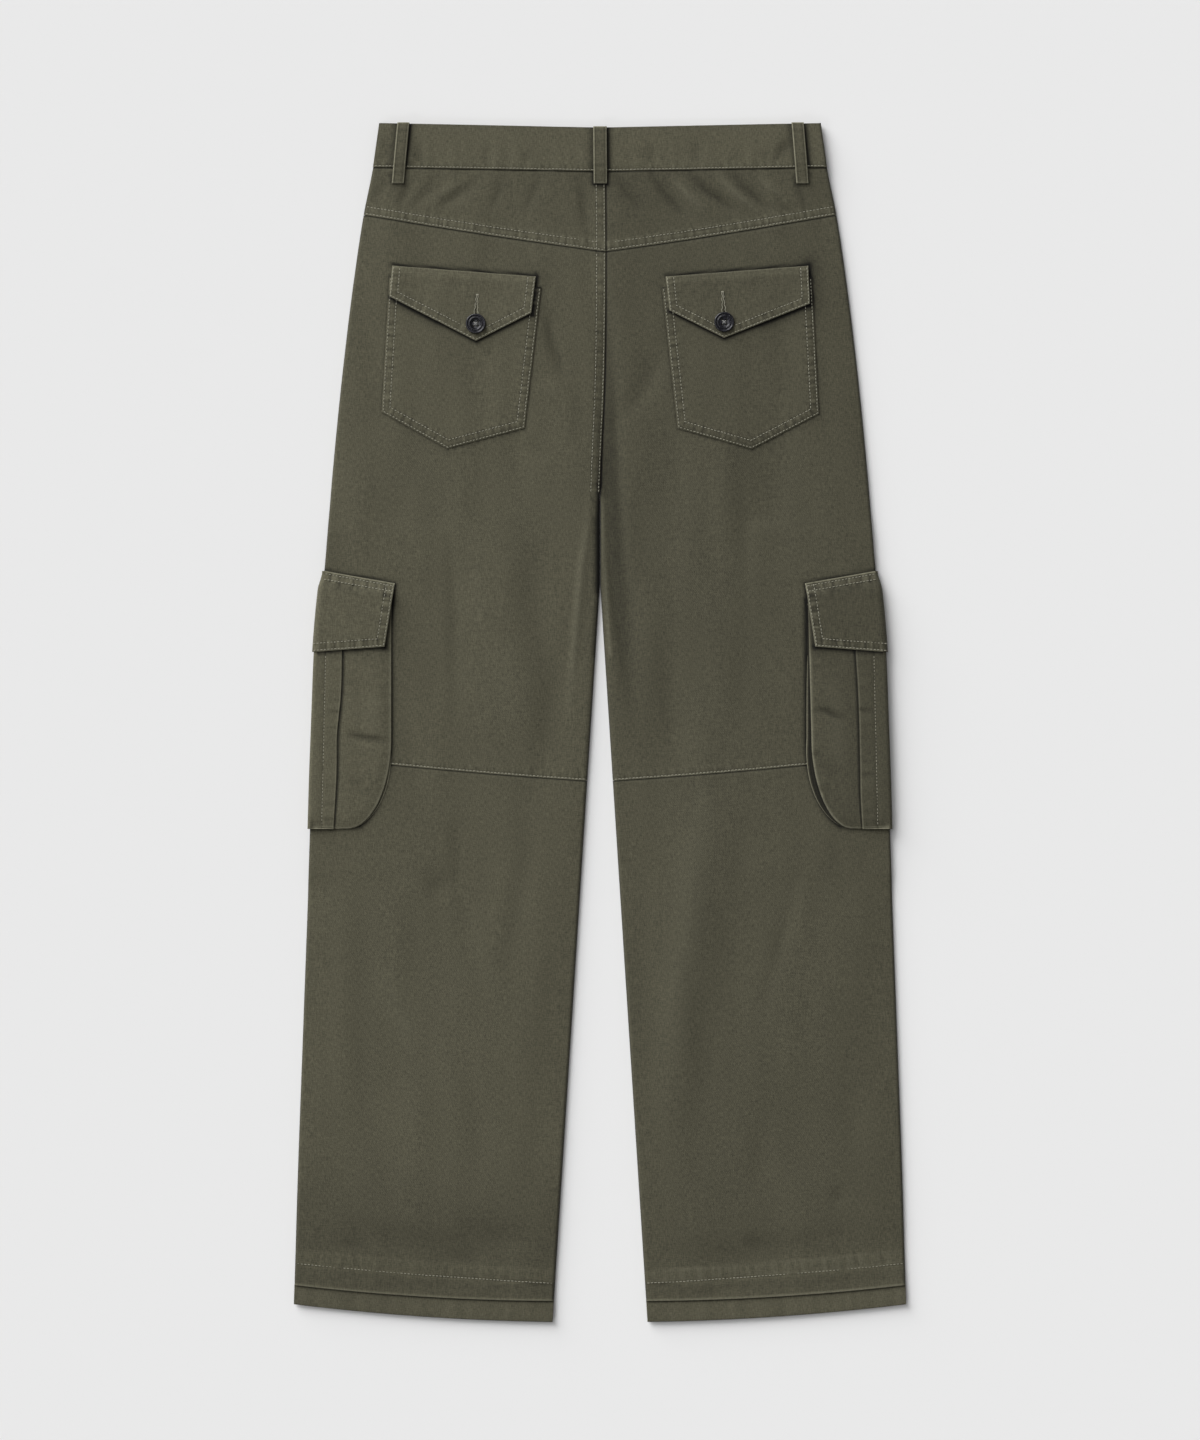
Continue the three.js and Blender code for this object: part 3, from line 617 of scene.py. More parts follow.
@dataclass(frozen=True)
class Tuck:
    """An edge that goes under its neighbour."""

    depth: float = 0.5
    width: float = 2.6
    pucker: float = 0.1
    seed: int = 2

    offsets = (0.0, 0.4, 1.0, 1.8, 2.6, 4.2)

    def lift(self, distance: Array, along: Array) -> Array:
        """How far the wall is held down."""
        return -self.depth * (1 - smooth(0, self.width, distance))

    def relief(self, distance: Array, along: Array) -> Array:
        """Puckers that fade away from the seam."""
        return self.pucker * np.exp(-distance / 5) * ripple(along, self.seed)

    def wear_and_shade(self, distance: Array, along: Array) -> Array:
        """Painted shade on the seam beside the neighbour's edge, which lies over it."""
        return -0.8 * bell(distance, 1.1) - 0.07 * np.exp(-distance / 6)


@dataclass(frozen=True)
class StitchedRow:
    """A row of stitches across a wall, in a groove with painted shade."""

    sink: float = 0.4
    pucker: float = 0.08
    reach: float = 5.0
    seed: int = 3

    def lift(self, distance: Array, along: Array) -> Array:
        """The row lifts nothing."""
        return np.zeros_like(distance)

    def relief(self, distance: Array, along: Array) -> Array:
        """Groove along the row and puckers beside it."""
        groove = -self.sink * bell(distance, 0.8)
        return groove + self.pucker * bell(distance, self.reach) * ripple(along, self.seed)

    def wear_and_shade(self, distance: Array, along: Array) -> Array:
        """Painted highlight along the groove's rim, and painted shade in it."""
        return 0.12 * bell(distance, 1.8) - 0.5 * bell(distance, 0.7)


@dataclass(frozen=True)
class Turning:
    """The hidden turned-up edge of a hem, which shows as a puckered band above the stitches."""

    half: float = 5.2
    swell: float = 0.25
    pucker: float = 0.13
    tone: float = 0.08
    seed: int = 4
    pitches: tuple[float, ...] = (5.2, 8.3, 13.1)

    def window(self, distance: Array) -> Array:
        """1 inside the band, falling to 0 outside it."""
        return np.exp(-((distance / self.half) ** 6))

    def lift(self, distance: Array, along: Array) -> Array:
        """How far the turning raises the wall."""
        return self.swell * self.window(distance)

    def relief(self, distance: Array, along: Array) -> Array:
        """Puckers of the band."""
        return self.pucker * self.window(distance) * ripple(along, self.seed, self.pitches)

    def wear_and_shade(self, distance: Array, along: Array) -> Array:
        """Puckers painted light on top and dark between; the band and its two edges are a little lighter."""
        rims = 0.16 * bell(distance - self.half, 1.2)
        return rims + self.window(distance) * (self.tone + 0.13 * ripple(along, self.seed, self.pitches))


Profile = Lap | Tuck | StitchedRow | Turning


@dataclass(frozen=True)
class Edge:
    """A line of a piece and the form that the cloth has beside it."""

    line: EdgeLine
    profile: Profile


def write_mesh(name: str, vertices: Array, faces: list[Sequence[int]]) -> Piece:
    """A smooth-shaded mesh object.

    Args:
        name: the object's name.
        vertices: places in millimetres, one row each.
        faces: vertex numbers of each face.

    Returns:
        The new object, linked to the scene.
    """
    mesh = bpy.data.meshes.new(name)
    mesh.from_pydata((np.asarray(vertices) * MM).tolist(), [], [list(face) for face in faces])
    mesh.polygons.foreach_set("use_smooth", np.ones(len(mesh.polygons), bool))
    mesh.update()
    piece = bpy.data.objects.new(name, mesh)
    bpy.context.scene.collection.objects.link(piece)
    return piece


def wall_mesh(name: str, inside: Array, outside: Array, wear_and_shade: Array | None = None) -> Piece:
    """A closed wall between two grids of places.

    Args:
        name: the object's name.
        inside: grid of the inner face, rows by columns by 3, in millimetres.
        outside: grid of the outer face.
        wear_and_shade: at each grid place, abrasion and painted highlight above zero, painted shade below it.

    Returns:
        The new object.
    """
    rows, columns = outside.shape[:2]
    count = rows * columns
    number = np.arange(count).reshape(rows, columns)
    outer = np.stack([number[:-1, :-1], number[1:, :-1], number[1:, 1:], number[:-1, 1:]], -1).reshape(-1, 4)
    ring = np.concatenate([number[0, :-1], number[:-1, -1], number[-1, :0:-1], number[:0:-1, 0]])
    after = np.roll(ring, -1)
    rim = np.stack([ring, after, after + count, ring + count], 1)
    faces = np.vstack([outer, outer[:, ::-1] + count, rim])
    vertices = np.vstack([outside.reshape(-1, 3), inside.reshape(-1, 3)])
    a, b, c, d = (vertices[faces[:, k]] for k in range(4))
    volume = (a * np.cross(b, c)).sum() + (a * np.cross(c, d)).sum()
    if volume < 0:
        faces = faces[:, ::-1]
    piece = write_mesh(name, vertices, faces.tolist())
    values = np.zeros(2 * count) if wear_and_shade is None else np.tile(wear_and_shade.ravel(), 2)
    layer = piece.data.attributes.new("wear_and_shade", "FLOAT", "POINT")
    layer.data.foreach_set("value", values.astype(np.float32))
    return piece


class Graph:
    """A material's node tree, with short calls that add nodes and join them."""

    def __init__(self, name: str) -> None:
        """Starts a material with one Principled shader."""
        self.material = bpy.data.materials.new(name)
        self.material.use_nodes = True
        self.tree = self.material.node_tree
        self.shader = self.tree.nodes["Principled BSDF"]

    def add(
        self, kind: str, inputs: dict[str | int, object] | None = None, **settings: object,
    ) -> bpy.types.Node:
        """Adds a node.

        Args:
            kind: the node's type name.
            inputs: value or output socket for each named input.
            **settings: properties of the node.

        Returns:
            The node.
        """
        node = self.tree.nodes.new(kind)
        for key, value in settings.items():
            setattr(node, key, value)
        for key, value in (inputs or {}).items():
            self.feed(node.inputs[key], value)
        return node

    def feed(self, socket: Socket, value: object) -> None:
        """Joins an output to a socket, or sets the socket's own value."""
        if isinstance(value, Socket):
            self.tree.links.new(value, socket)
        else:
            socket.default_value = value

    def surface(self, inputs: dict[str, object]) -> bpy.types.Material:
        """Sets the shader's inputs, and gives the material."""
        for key, value in inputs.items():
            self.feed(self.shader.inputs[key], value)
        return self.material

    def math(self, operation: str, first: object, second: object = 0.0) -> Socket:
        """Output of a Math node."""
        return self.add("ShaderNodeMath", {0: first, 1: second}, operation=operation).outputs[0]

    def blend(self, factor: object, first: object, second: object) -> Socket:
        """Output of a colour Mix node."""
        node = self.add("ShaderNodeMix", data_type="RGBA")
        for index, value in ((0, factor), (6, first), (7, second)):
            self.feed(node.inputs[index], value)
        return node.outputs[2]

    def noise(self, place: object, grain: Triple, detail: float = 2.0) -> Socket:
        """Noise whose features have the given sizes in millimetres."""
        scale = tuple(1 / (size * MM) for size in grain)
        moved = self.add("ShaderNodeMapping", {"Vector": place, "Scale": scale})
        node = self.add("ShaderNodeTexNoise", {"Vector": moved.outputs[0], "Scale": 1.0, "Detail": detail})
        return node.outputs[0]


@dataclass(frozen=True)
class Finish:
    """What a piece is made of."""

    name: str
    colour: Triple

    def material(self) -> bpy.types.Material:
        """The finish's material, made once for each name."""
        return bpy.data.materials.get(self.name) or self.mixed(Graph(self.name))

    def mixed(self, graph: Graph) -> bpy.types.Material:
        """The finish's nodes, which each kind of finish adds."""
        raise NotImplementedError


@dataclass(frozen=True)
class Twill(Finish):
    """Washed cotton twill: diagonal ribs, thread streaks, soft mottling, abraded edges and painted shade.

    Its point attribute runs from 1, for abraded edges and painted highlights, which lighten the cloth,
    to -1, for painted shade along seams, edges and creases, which darkens it.
    """

    name: str = "washed_twill"
    colour: Triple = (0.080, 0.0752, 0.0492)
    # Colour of abraded cloth, which the painted highlights also lighten towards
    worn_and_lit: Triple = (0.25, 0.24, 0.17)
    rib_pitch: float = 1.1
    rib_depth: float = 0.12

    def tinted(self, name: str, factor: float) -> Twill:
        """A lighter or darker copy of the same cloth."""
        return Twill(name, tuple(c * factor for c in self.colour), self.worn_and_lit)

    def mixed(self, graph: Graph) -> bpy.types.Material:
        """The cloth's nodes."""
        place = graph.add("ShaderNodeTexCoord").outputs["Object"]
        warp = graph.noise(place, (0.7, 3.6, 2.0), 3)
        weft = graph.noise(place, (3.4, 0.6, 2.0), 3)
        mottle = graph.noise(place, (22.0, 60.0, 30.0), 4)
        cloud = graph.noise(place, (120.0, 200.0, 90.0), 2)
        threads = graph.math("ADD", graph.math("MULTIPLY", warp, 0.55), graph.math("MULTIPLY", weft, 0.45))
        dark = (*(c * 0.53 for c in self.colour), 1)
        light = (*(c * 1.47 for c in self.colour), 1)
        spread = graph.add("ShaderNodeMapRange", {"Value": threads, 1: 0.3, 2: 0.7})
        base = graph.blend(spread.outputs[0], dark, light)
        tone = graph.math("ADD", graph.math("MULTIPLY", mottle, 0.2), graph.math("MULTIPLY", cloud, 0.2))
        # Painted shade: below zero the point attribute darkens the colour, to 6% at -1, along seams, edges and creases
        wear_and_shade = graph.add("ShaderNodeAttribute", attribute_name="wear_and_shade").outputs["Fac"]
        kept = graph.add("ShaderNodeMapRange", {"Value": wear_and_shade, 1: -1.0, 2: 0.0, 3: 0.06, 4: 1.0}).outputs[0]
        shade = graph.math("MULTIPLY", graph.math("ADD", tone, 0.8), kept)
        mottled_and_shaded = graph.add("ShaderNodeVectorMath", {0: base, 1: shade}, operation="MULTIPLY").outputs[0]
        # Above zero it lightens the colour towards the abraded colour, for abraded edges and painted highlights
        grain = graph.math("ADD", graph.noise(place, (2.4, 2.4, 2.4)), 0.25)
        rub = graph.math("MULTIPLY", graph.math("MAXIMUM", wear_and_shade), grain)
        colour = graph.blend(rub, mottled_and_shaded, (*self.worn_and_lit, 1))
        turned = graph.add("ShaderNodeMapping", {"Vector": place, "Rotation": (0, 0, 0.96)})
        ribs = graph.add(
            "ShaderNodeTexWave",
            {"Vector": turned.outputs[0], "Scale": 0.314 / (self.rib_pitch * MM), "Distortion": 1.2,
             "Detail": 1.0, "Detail Scale": 1.5},
            bands_direction="X",
        )
        fuzz = graph.math("MULTIPLY", threads, 1.6)
        height = graph.math("ADD", ribs.outputs["Fac"], fuzz)
        depth = self.rib_depth * MM
        bump = graph.add("ShaderNodeBump", {"Height": height, "Strength": 0.75, "Distance": depth})
        roughness = graph.math("ADD", graph.math("MULTIPLY", warp, 0.15), 0.8)
        return graph.surface({
            "Base Color": colour, "Normal": bump.outputs[0], "Roughness": roughness,
            "Specular IOR Level": 0.2, "Sheen Weight": 0.06, "Sheen Roughness": 0.5,
        })


@dataclass(frozen=True)
class Thread(Finish):
    """Spun sewing thread, a little lighter than the cloth."""

    name: str = "thread"
    colour: Triple = (0.25, 0.239, 0.177)

    def mixed(self, graph: Graph) -> bpy.types.Material:
        """The thread's nodes."""
        place = graph.add("ShaderNodeTexCoord").outputs["Object"]
        fibre = graph.noise(place, (0.5, 0.5, 0.5))
        dark = (*(c * 0.62 for c in self.colour), 1)
        light = (*(c * 1.3 for c in self.colour), 1)
        bump = graph.add("ShaderNodeBump", {"Height": fibre, "Strength": 0.4, "Distance": 0.05 * MM})
        return graph.surface({
            "Base Color": graph.blend(fibre, dark, light), "Normal": bump.outputs[0], "Roughness": 0.7,
            "Sheen Weight": 0.2,
        })


@dataclass(frozen=True)
class Horn(Finish):
    """Glossy bluish black button plastic with a faint marbling."""

    name: str = "horn"
    colour: Triple = (0.004, 0.004, 0.006)
    vein: Triple = (0.02, 0.019, 0.026)

    def mixed(self, graph: Graph) -> bpy.types.Material:
        """The button's nodes."""
        place = graph.add("ShaderNodeTexCoord").outputs["Object"]
        cloud = graph.noise(place, (3.0, 6.0, 4.0), 4)
        spread = graph.add("ShaderNodeMapRange", {"Value": cloud, 1: 0.42, 2: 0.75})
        colour = graph.blend(spread.outputs[0], (*self.colour, 1), (*self.vein, 1))
        scuff = graph.noise(place, (0.8, 0.8, 0.8))
        roughness = graph.math("ADD", graph.math("MULTIPLY", scuff, 0.12), 0.04)
        return graph.surface({"Base Color": colour, "Roughness": roughness, "Specular IOR Level": 0.4})


TWILL = Twill()


def twill_pair(name: str, left: float, right: float) -> dict[Side, Twill]:
    """Copies of the cloth for the two sides as shares of its colour: lighter left, as painted light; darker right, as
    painted shade.
    """
    return {side: TWILL.tinted(f"{name}_{side.label}", share) for side, share in zip(Side, (left, right))}


TWILL_BAND = TWILL.tinted("washed_twill_band", 1.13)
TWILL_INSIDE = TWILL.tinted("washed_twill_inside", 0.97)
# Painted light and shade: each of these cloths is lighter on the left side than on the right
BACK_TWILL = twill_pair("washed_twill", 1.03, 0.9)
POCKET_TWILL = twill_pair("washed_twill_pocket", 1.09, 0.92)
POUCH_TWILL = twill_pair("washed_twill_pouch", 1.13, 0.76)
THREAD = Thread()
HOLE_THREAD = Thread("buttonhole_thread", (0.36, 0.345, 0.26))
BUTTON_THREAD = Thread("button_thread", (0.2, 0.2, 0.19))
HORN = Horn()


class Slot(Enum):
    """Material slot names, passed to builds that don't use them."""

    TWILL = "twill"
    INSIDE = "twill_inside"
    BUTTON = "button"


def dress(
    piece: Piece, finish: Finish, replaces: Sequence[str] = ()
) -> Piece:
    """Gives a piece its finish and its place in the frame.

    Args:
        piece: the new object.
        finish: what it is made of.
        replaces: the nodes that it stands for.

    Returns:
        The same object.
    """
    piece.data.materials.append(finish.material())
    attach(piece, "root")
    if replaces:
        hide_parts(*replaces)
    LOG.info("%s: %d faces", piece.name, len(piece.data.polygons))
    return piece


def grid_of(x: Array, y: Array, z: Array | float) -> Array:
    """Grid of places, rows by columns by 3."""
    return np.stack(np.broadcast_arrays(x, y, z), -1)


def lay_cloth(
    node: str, inside: Array, outside: Array, wear_and_shade: Array | None, finish: Twill,
) -> Piece:
    """Args:
        node: the node.
        inside: grid of the inner face.
        outside: grid of the outer face.
        wear_and_shade: at each grid place, abrasion and painted highlight above zero, painted shade below it.
        finish: the cloth.

    Returns:
        The new object.
    """
    piece = dress(wall_mesh(f"{node}_cloth", inside, outside, wear_and_shade), finish, [node])
    return piece


@dataclass
class StitchBox:
    """Collects rows of stitches and makes them into one joined mesh."""

    name: str
    length: float = 2.5
    radius: float = 0.38
    pitch: float = 3.1
    proud: float = 0.14
    seed: int = 5
    thread: Thread = THREAD
    centres: list[Array] = field(default_factory=list)
    axes: list[Array] = field(default_factory=list)

    def row(self, line: EdgeLine, face: HeightAt, trim: float = 1.5, sunk: float = 0.0) -> None:
        """Adds a row of stitches along a line on a face.

        Args:
            line: the row seen from above.
            face: height of the cloth's face.
            trim: length left bare at each end.
            sunk: how far the row is drawn into the cloth.
        """
        rng = np.random.default_rng(self.seed + len(self.centres))
        middle, direction = line.places(self.pitch, trim)
        sideways = np.stack([-direction[:, 1], direction[:, 0]], 1)
        direction = direction + sideways * rng.normal(0, 0.03, (len(middle), 1))
        middle = middle + sideways * rng.normal(0, 0.06, (len(middle), 1))
        half = direction * self.length / 2
        start = len(self.centres)
        self.span(middle - half, middle + half, lambda x, y: face(x, y) - sunk)
        dip = ripple(np.arange(len(middle)) * self.pitch, self.seed + start, (17.0, 31.0, 59.0))
        self.centres[-1][:, 2] -= 0.22 * np.clip(dip + 0.2, 0, 1.2)

    def span(self, starts: Array, ends: Array, face: HeightAt) -> None:
        """Adds a stitch from each start to each end, laid on a face."""
        low, high = (np.column_stack([p, face(p[:, 0], p[:, 1]) + self.proud]) for p in (starts, ends))
        self.centres.append((low + high) / 2)
        self.axes.append(high - low)

    def build(self) -> Piece:
        """Makes the joined mesh: each stitch is a short spindle that dips at both ends."""
        centre, axis = np.vstack(self.centres), np.vstack(self.axes)
        length = np.linalg.norm(axis, axis=1, keepdims=True)
        along = axis / length
        side = np.cross([0, 0, 1], along)
        side /= np.linalg.norm(side, axis=1, keepdims=True)
        up = np.cross(along, side)
        sides = 5
        sections = ((-0.5, 0.3, -0.3), (-0.27, 1.0, 0.0), (0.27, 1.0, 0.0), (0.5, 0.3, -0.3))
        rings = []
        for place, width, drop in sections:
            for k in range(sides):
                turn = 2 * np.pi * k / sides
                rings.append(
                    centre + along * length * place
                    + side * self.radius * width * np.cos(turn)
                    + up * (self.radius * width * np.sin(turn) + drop * self.radius * 1.5)
                )
        vertices = np.stack(rings, 1)
        each = len(rings)
        template = []
        for ring in range(len(sections) - 1):
            for k in range(sides):
                a, b = ring * sides + k, ring * sides + (k + 1) % sides
                template.append((a, b, b + sides, a + sides))
        caps = [tuple(reversed(range(sides))), tuple(range(each - sides, each))]
        quads = (np.array(template)[None] + each * np.arange(len(centre))[:, None, None]).reshape(-1, 4)
        ends = (np.array(caps)[None] + each * np.arange(len(centre))[:, None, None]).reshape(-1, sides)
        piece = write_mesh(self.name, vertices.reshape(-1, 3), quads.tolist() + ends.tolist())
        return dress(piece, self.thread)


@dataclass(frozen=True)
class Shade:
    """A painted shadow along a piece's edge, on the cloth it is sewn to; a negative strength paints a highlight."""

    line: EdgeLine
    width: float
    strength: float

    def wear_and_shade(self, x: Array, y: Array) -> Array:
        """Painted shade near the line, below zero; a negative strength gives painted highlight instead."""
        away = self.line.nearest(x, y)[0]
        return -self.strength * (bell(away, self.width) + 0.12 * np.exp(-away / 7))


@dataclass
class Cloth:
    """A flat piece of cloth: a grid seen from above, its height, and the forms of its edges."""

    name: str
    x: Array
    y: Array
    face: HeightAt
    edges: list[Edge]
    underside: HeightAt | None = None
    # Painted shadow lines along the pieces sewn on
    shades: Sequence[Shade] = ()
    # Painted shade and highlight of creases, and other darkening, in the cloth's colour
    tone: HeightAt | None = None

    def height(self, x: Array, y: Array) -> Array:
        """Height of the finished outer face."""
        total = self.face(x, y)
        for edge in self.edges:
            near = edge.line.nearest(x, y)
            total = total + edge.profile.lift(*near) + edge.profile.relief(*near)
        return total

    def build(self, finish: Twill, slot: Slot, rests_on: Sequence[str]) -> Piece:
        """Makes the piece, which stands for the node of its name.

        Args:
            finish: the cloth.
            slot: not used.
            rests_on: not used.

        Returns:
            The new object.
        """
        outer = self.face(self.x, self.y)
        inner = self.underside(self.x, self.y) if self.underside else outer - CLOTH
        wear_and_shade = self.tone(self.x, self.y) if self.tone else np.zeros_like(outer)
        for edge in self.edges:
            near = edge.line.nearest(self.x, self.y)
            lift = edge.profile.lift(*near)
            inner = inner + lift
            outer = outer + lift + edge.profile.relief(*near)
            wear_and_shade = wear_and_shade + edge.profile.wear_and_shade(*near)
        for shade in self.shades:
            wear_and_shade = wear_and_shade + shade.wear_and_shade(self.x, self.y)
        wear_and_shade = np.clip(wear_and_shade, -1, 1)
        outer = np.maximum(outer, inner + 0.12)
        inside, outside, pattern = (grid_of(self.x, self.y, z) for z in (inner, outer, 0.0))
        return lay_cloth(self.name, inside, outside, wear_and_shade, finish)


FOLD_OFFSETS = (0.0, 0.08, 0.3, 0.7, 1.2, 1.8, 2.6, 3.8, 5.5)


def leg_grid(
    side: Side, top: Seam, foot: Seam, inner_of: Callable[[Array], Array],
    across: tuple[Sequence[float], Sequence[float]], down: tuple[Sequence[float], Sequence[float]],
    step: float, row_step: float, inset: float = 0.0,
) -> tuple[Array, Array]:
    """Grid of places over a leg panel, between two seams across the leg.

    Args:
        side: the leg.
        top: seam at the panel's top.
        foot: seam at its foot.
        inner_of: distance of the inner edge from the middle line at a height.
        across: distances of extra columns from the inner edge and from the side.
        down: distances of extra rows from the top and from the foot.
        step: largest spacing across elsewhere.
        row_step: largest spacing along elsewhere.
        inset: how far the panel stays inside the garment's side.

    Returns:
        The places across and along, as two grids of rows by columns.
    """
    outline = DRAPE.outline
    length = (top.inner + top.outer - foot.inner - foot.outer) / 2
    share = stations(length, *down, row_step) / length
    ends = (GAP / 2) * (np.where(share == share[0], -1, 0) + np.where(share == share[-1], 1, 0))
    inner_y = mix(top.inner, foot.inner, share) + ends
    outer_y = mix(top.outer, foot.outer, share) + ends
    inner = inner_of(inner_y)
    width = outline.side(outer_y) - inset - inner
    mean = float(width.mean())
    column = stations(mean, *across, step)
    low, high = across[0][-1], mean - across[1][-1]
    stretch = np.clip((column - low) / (high - low), 0, 1)
    distance = column[None] + (width - mean)[:, None] * stretch[None]
    u = distance / width[:, None]
    bow = mix(top.bow, foot.bow, share)[:, None]
    y = mix(inner_y[:, None], outer_y[:, None], u) + bow * 4 * u * (1 - u)
    return side.value * (inner[:, None] + distance), y


@dataclass(frozen=True)
class BackLeg:
    """The back of one leg: yoke, back and lower back, with their seams."""

    side: Side
    step: float = 1.6
    row_step: float = 2.6
    yoke_lap: Lap = Lap(rows=(1.5, 7.5), band=9.2, swell=0.22, pucker=0.3, rub=0.45, contrast=0.34, tone=0.07,
                        seed=21, pitches=(3.3, 4.7, 8.9))
    centre_lap: Lap = Lap(rows=(1.2, 8.0), band=9.4, pucker=0.3, rub=0.3, contrast=0.3, tone=-0.02, seed=22,
                          pitches=(4.7, 7.1, 12.0))
    knee_lap: Lap = Lap(rows=(1.3,), band=6.0, swell=0.12, pucker=0.3, rub=0.8, contrast=0.22, seed=23)
    hem_lap: Lap = Lap(rows=(), band=16.5, swell=0.12, pucker=0.06, rub=0.8, contrast=0.05, seed=24)
    hem_row: StitchedRow = StitchedRow(seed=25)
    hem_turning: Turning = Turning(seed=28)
    shades: tuple[Shade, ...] = ()

    def face(self, x: Array, y: Array) -> Array:
        """Outer face of the back before its seams are formed."""
        return DRAPE.back_face(self.side, x, y)

    def underside(self, x: Array, y: Array) -> Array:
        """Inner face of the back."""
        return DRAPE.back_underside(self.side, x, y)

    def inner_of(self, y: Array) -> Array:
        """Inner edge of the back."""
        return DRAPE.outline.back_inner(self.side, y)

    def centre_edge(self, low: float, high: float) -> Edge:
        """The centre-back seam between two heights: the left lies over the right."""
        y = np.linspace(low, high, 25)
        line = plotted(self.side.value * self.inner_of(y), y)
        return Edge(line, self.centre_lap if self.side is Side.LEFT else Tuck(seed=26))

    def panel(self, name: str, top: Seam, foot: Seam, edges: list[Edge], down: tuple) -> Cloth:
        """One panel of the leg.

        Args:
            name: the node's name, without its side.
            top: seam at the top.
            foot: seam at the foot.
            edges: forms of its seams.
            down: distances of extra rows from the top and the foot.

        Returns:
            The panel, ready to build.
        """
        across = (self.centre_lap.offsets if top.inner > 0 else FOLD_OFFSETS, FOLD_OFFSETS)
        x, y = leg_grid(self.side, top, foot, self.inner_of, across, down, self.step, self.row_step)
        # Painted shadows under the feet of the belt loops
        under_loops = tuple(Waist.foot_shade(*loop) for loop in Waist.loops) if name == "yoke" else ()
        return Cloth(f"{name}_{self.side.label}", x, y, self.face, edges, self.underside,
                     shades=self.shades + self.edge_shades() + under_loops, tone=DRAPE.tone)

    def edge_shades(self) -> tuple[Shade, ...]:
        """Thin painted dark outlines of the leg, and painted shade where the cloth turns down into the crotch."""
        outline, sign = DRAPE.outline, self.side.value
        y = np.linspace(outline.waist.outer, outline.back_hem.outer, 40)
        inner_y = np.linspace(outline.back_fork, outline.back_hem.inner, 30)
        side_line = plotted(sign * outline.side(y), y)
        inner_line = plotted(sign * outline.inseam(inner_y), inner_y)
        if self.side is Side.LEFT:
            # Painted shade where the left leg turns down into the gap of the crotch
            crotch = (
                Shade(traced((0.6, 232), (-1.2, 206)), 1.1, 0.6),
                Shade(traced((-0.9, 208), (-1.5, 176)), 2.2, 0.75),
                Shade(traced((-1.5, 178), (-1.5, 117)), 3.4, 0.95),
                Shade(traced((-1.5, 117), (-6, 60)), 2.2, 0.35),
            )
        else:
            crotch = (
                # Painted highlight along the lit fold beside the crotch
                Shade(traced((1.4, 196), (2.4, 165), (4.8, 120), (8.5, 60)), 1.9, -0.3),
                Shade(traced((0.6, 232), (1.2, 206)), 1.1, 0.6),
            )
        return (Shade(side_line, 1.2, 0.4), Shade(inner_line, 1.2, 0.4), *crotch)

    def build(self, stitches: StitchBox) -> list[Piece]:
        """Makes the three panels and sews them.

        Args:
            stitches: where the rows of stitches go.

        Returns:
            The panels.
        """
        outline = DRAPE.outline
        tuck = Tuck(seed=27)
        lines = {
            name: outline.seam_line(self.side, seam)
            for name, seam in (
                ("waist", outline.waist), ("yoke", outline.yoke), ("knee", outline.knee),
                ("hem_stitch", outline.hem_stitch), ("hem", outline.back_hem),
            )
        }
        below = [f"front_{self.side.label}_cloth"]
        finish = BACK_TWILL[self.side]
        seat_seam = self.centre_edge(outline.back_fork + 2, outline.yoke.inner)
        yoke = self.panel(
            "yoke", outline.waist, outline.yoke,
            [Edge(lines["waist"], tuck), Edge(lines["yoke"], self.yoke_lap),
             self.centre_edge(outline.yoke.inner, outline.waist.inner)],
            (tuck.offsets, self.yoke_lap.offsets),
        )
        back = self.panel(
            "back", outline.yoke, outline.knee,
            [Edge(lines["yoke"], tuck), Edge(lines["knee"], self.knee_lap), seat_seam],
            (tuck.offsets, self.knee_lap.offsets),
        )
        stitch_gap = float(np.mean([outline.hem_stitch.inner - outline.back_hem.inner,
                                    outline.hem_stitch.outer - outline.back_hem.outer]))
        near_stitch = (stitch_gap - 1.2, stitch_gap, stitch_gap + 1.2, stitch_gap + 3)
        lower = self.panel(
            "lower_back", outline.knee, outline.back_hem,
            [Edge(lines["knee"], tuck), Edge(lines["hem"], self.hem_lap),
             Edge(lines["hem_stitch"], self.hem_row),
             Edge(outline.seam_line(self.side, outline.hem_stitch.moved(5.6)), self.hem_turning)],
            (tuck.offsets, (0.0, 0.12, 0.4, 0.8, 1.3, 3.0, 6.0, 9.0, 12.0, *near_stitch)),
        )
        pieces = [panel.build(finish, Slot.TWILL, below) for panel in (yoke, back, lower)]
        middle = (self.side.value * 130.0, 460.0)
        for row in self.yoke_lap.rows:
            stitches.row(lines["yoke"].inset(row, middle), yoke.height)
        stitches.row(lines["knee"].inset(self.knee_lap.rows[0], (middle[0], 50.0)), back.height)
        stitches.row(lines["hem_stitch"], lower.height)
        if self.side is Side.LEFT:
            for row in self.centre_lap.rows:
                stitches.row(seat_seam.line.inset(row, (-100.0, 300.0)), back.height)
                stitches.row(yoke.edges[2].line.inset(row, (-100.0, 450.0)), yoke.height)
        return pieces


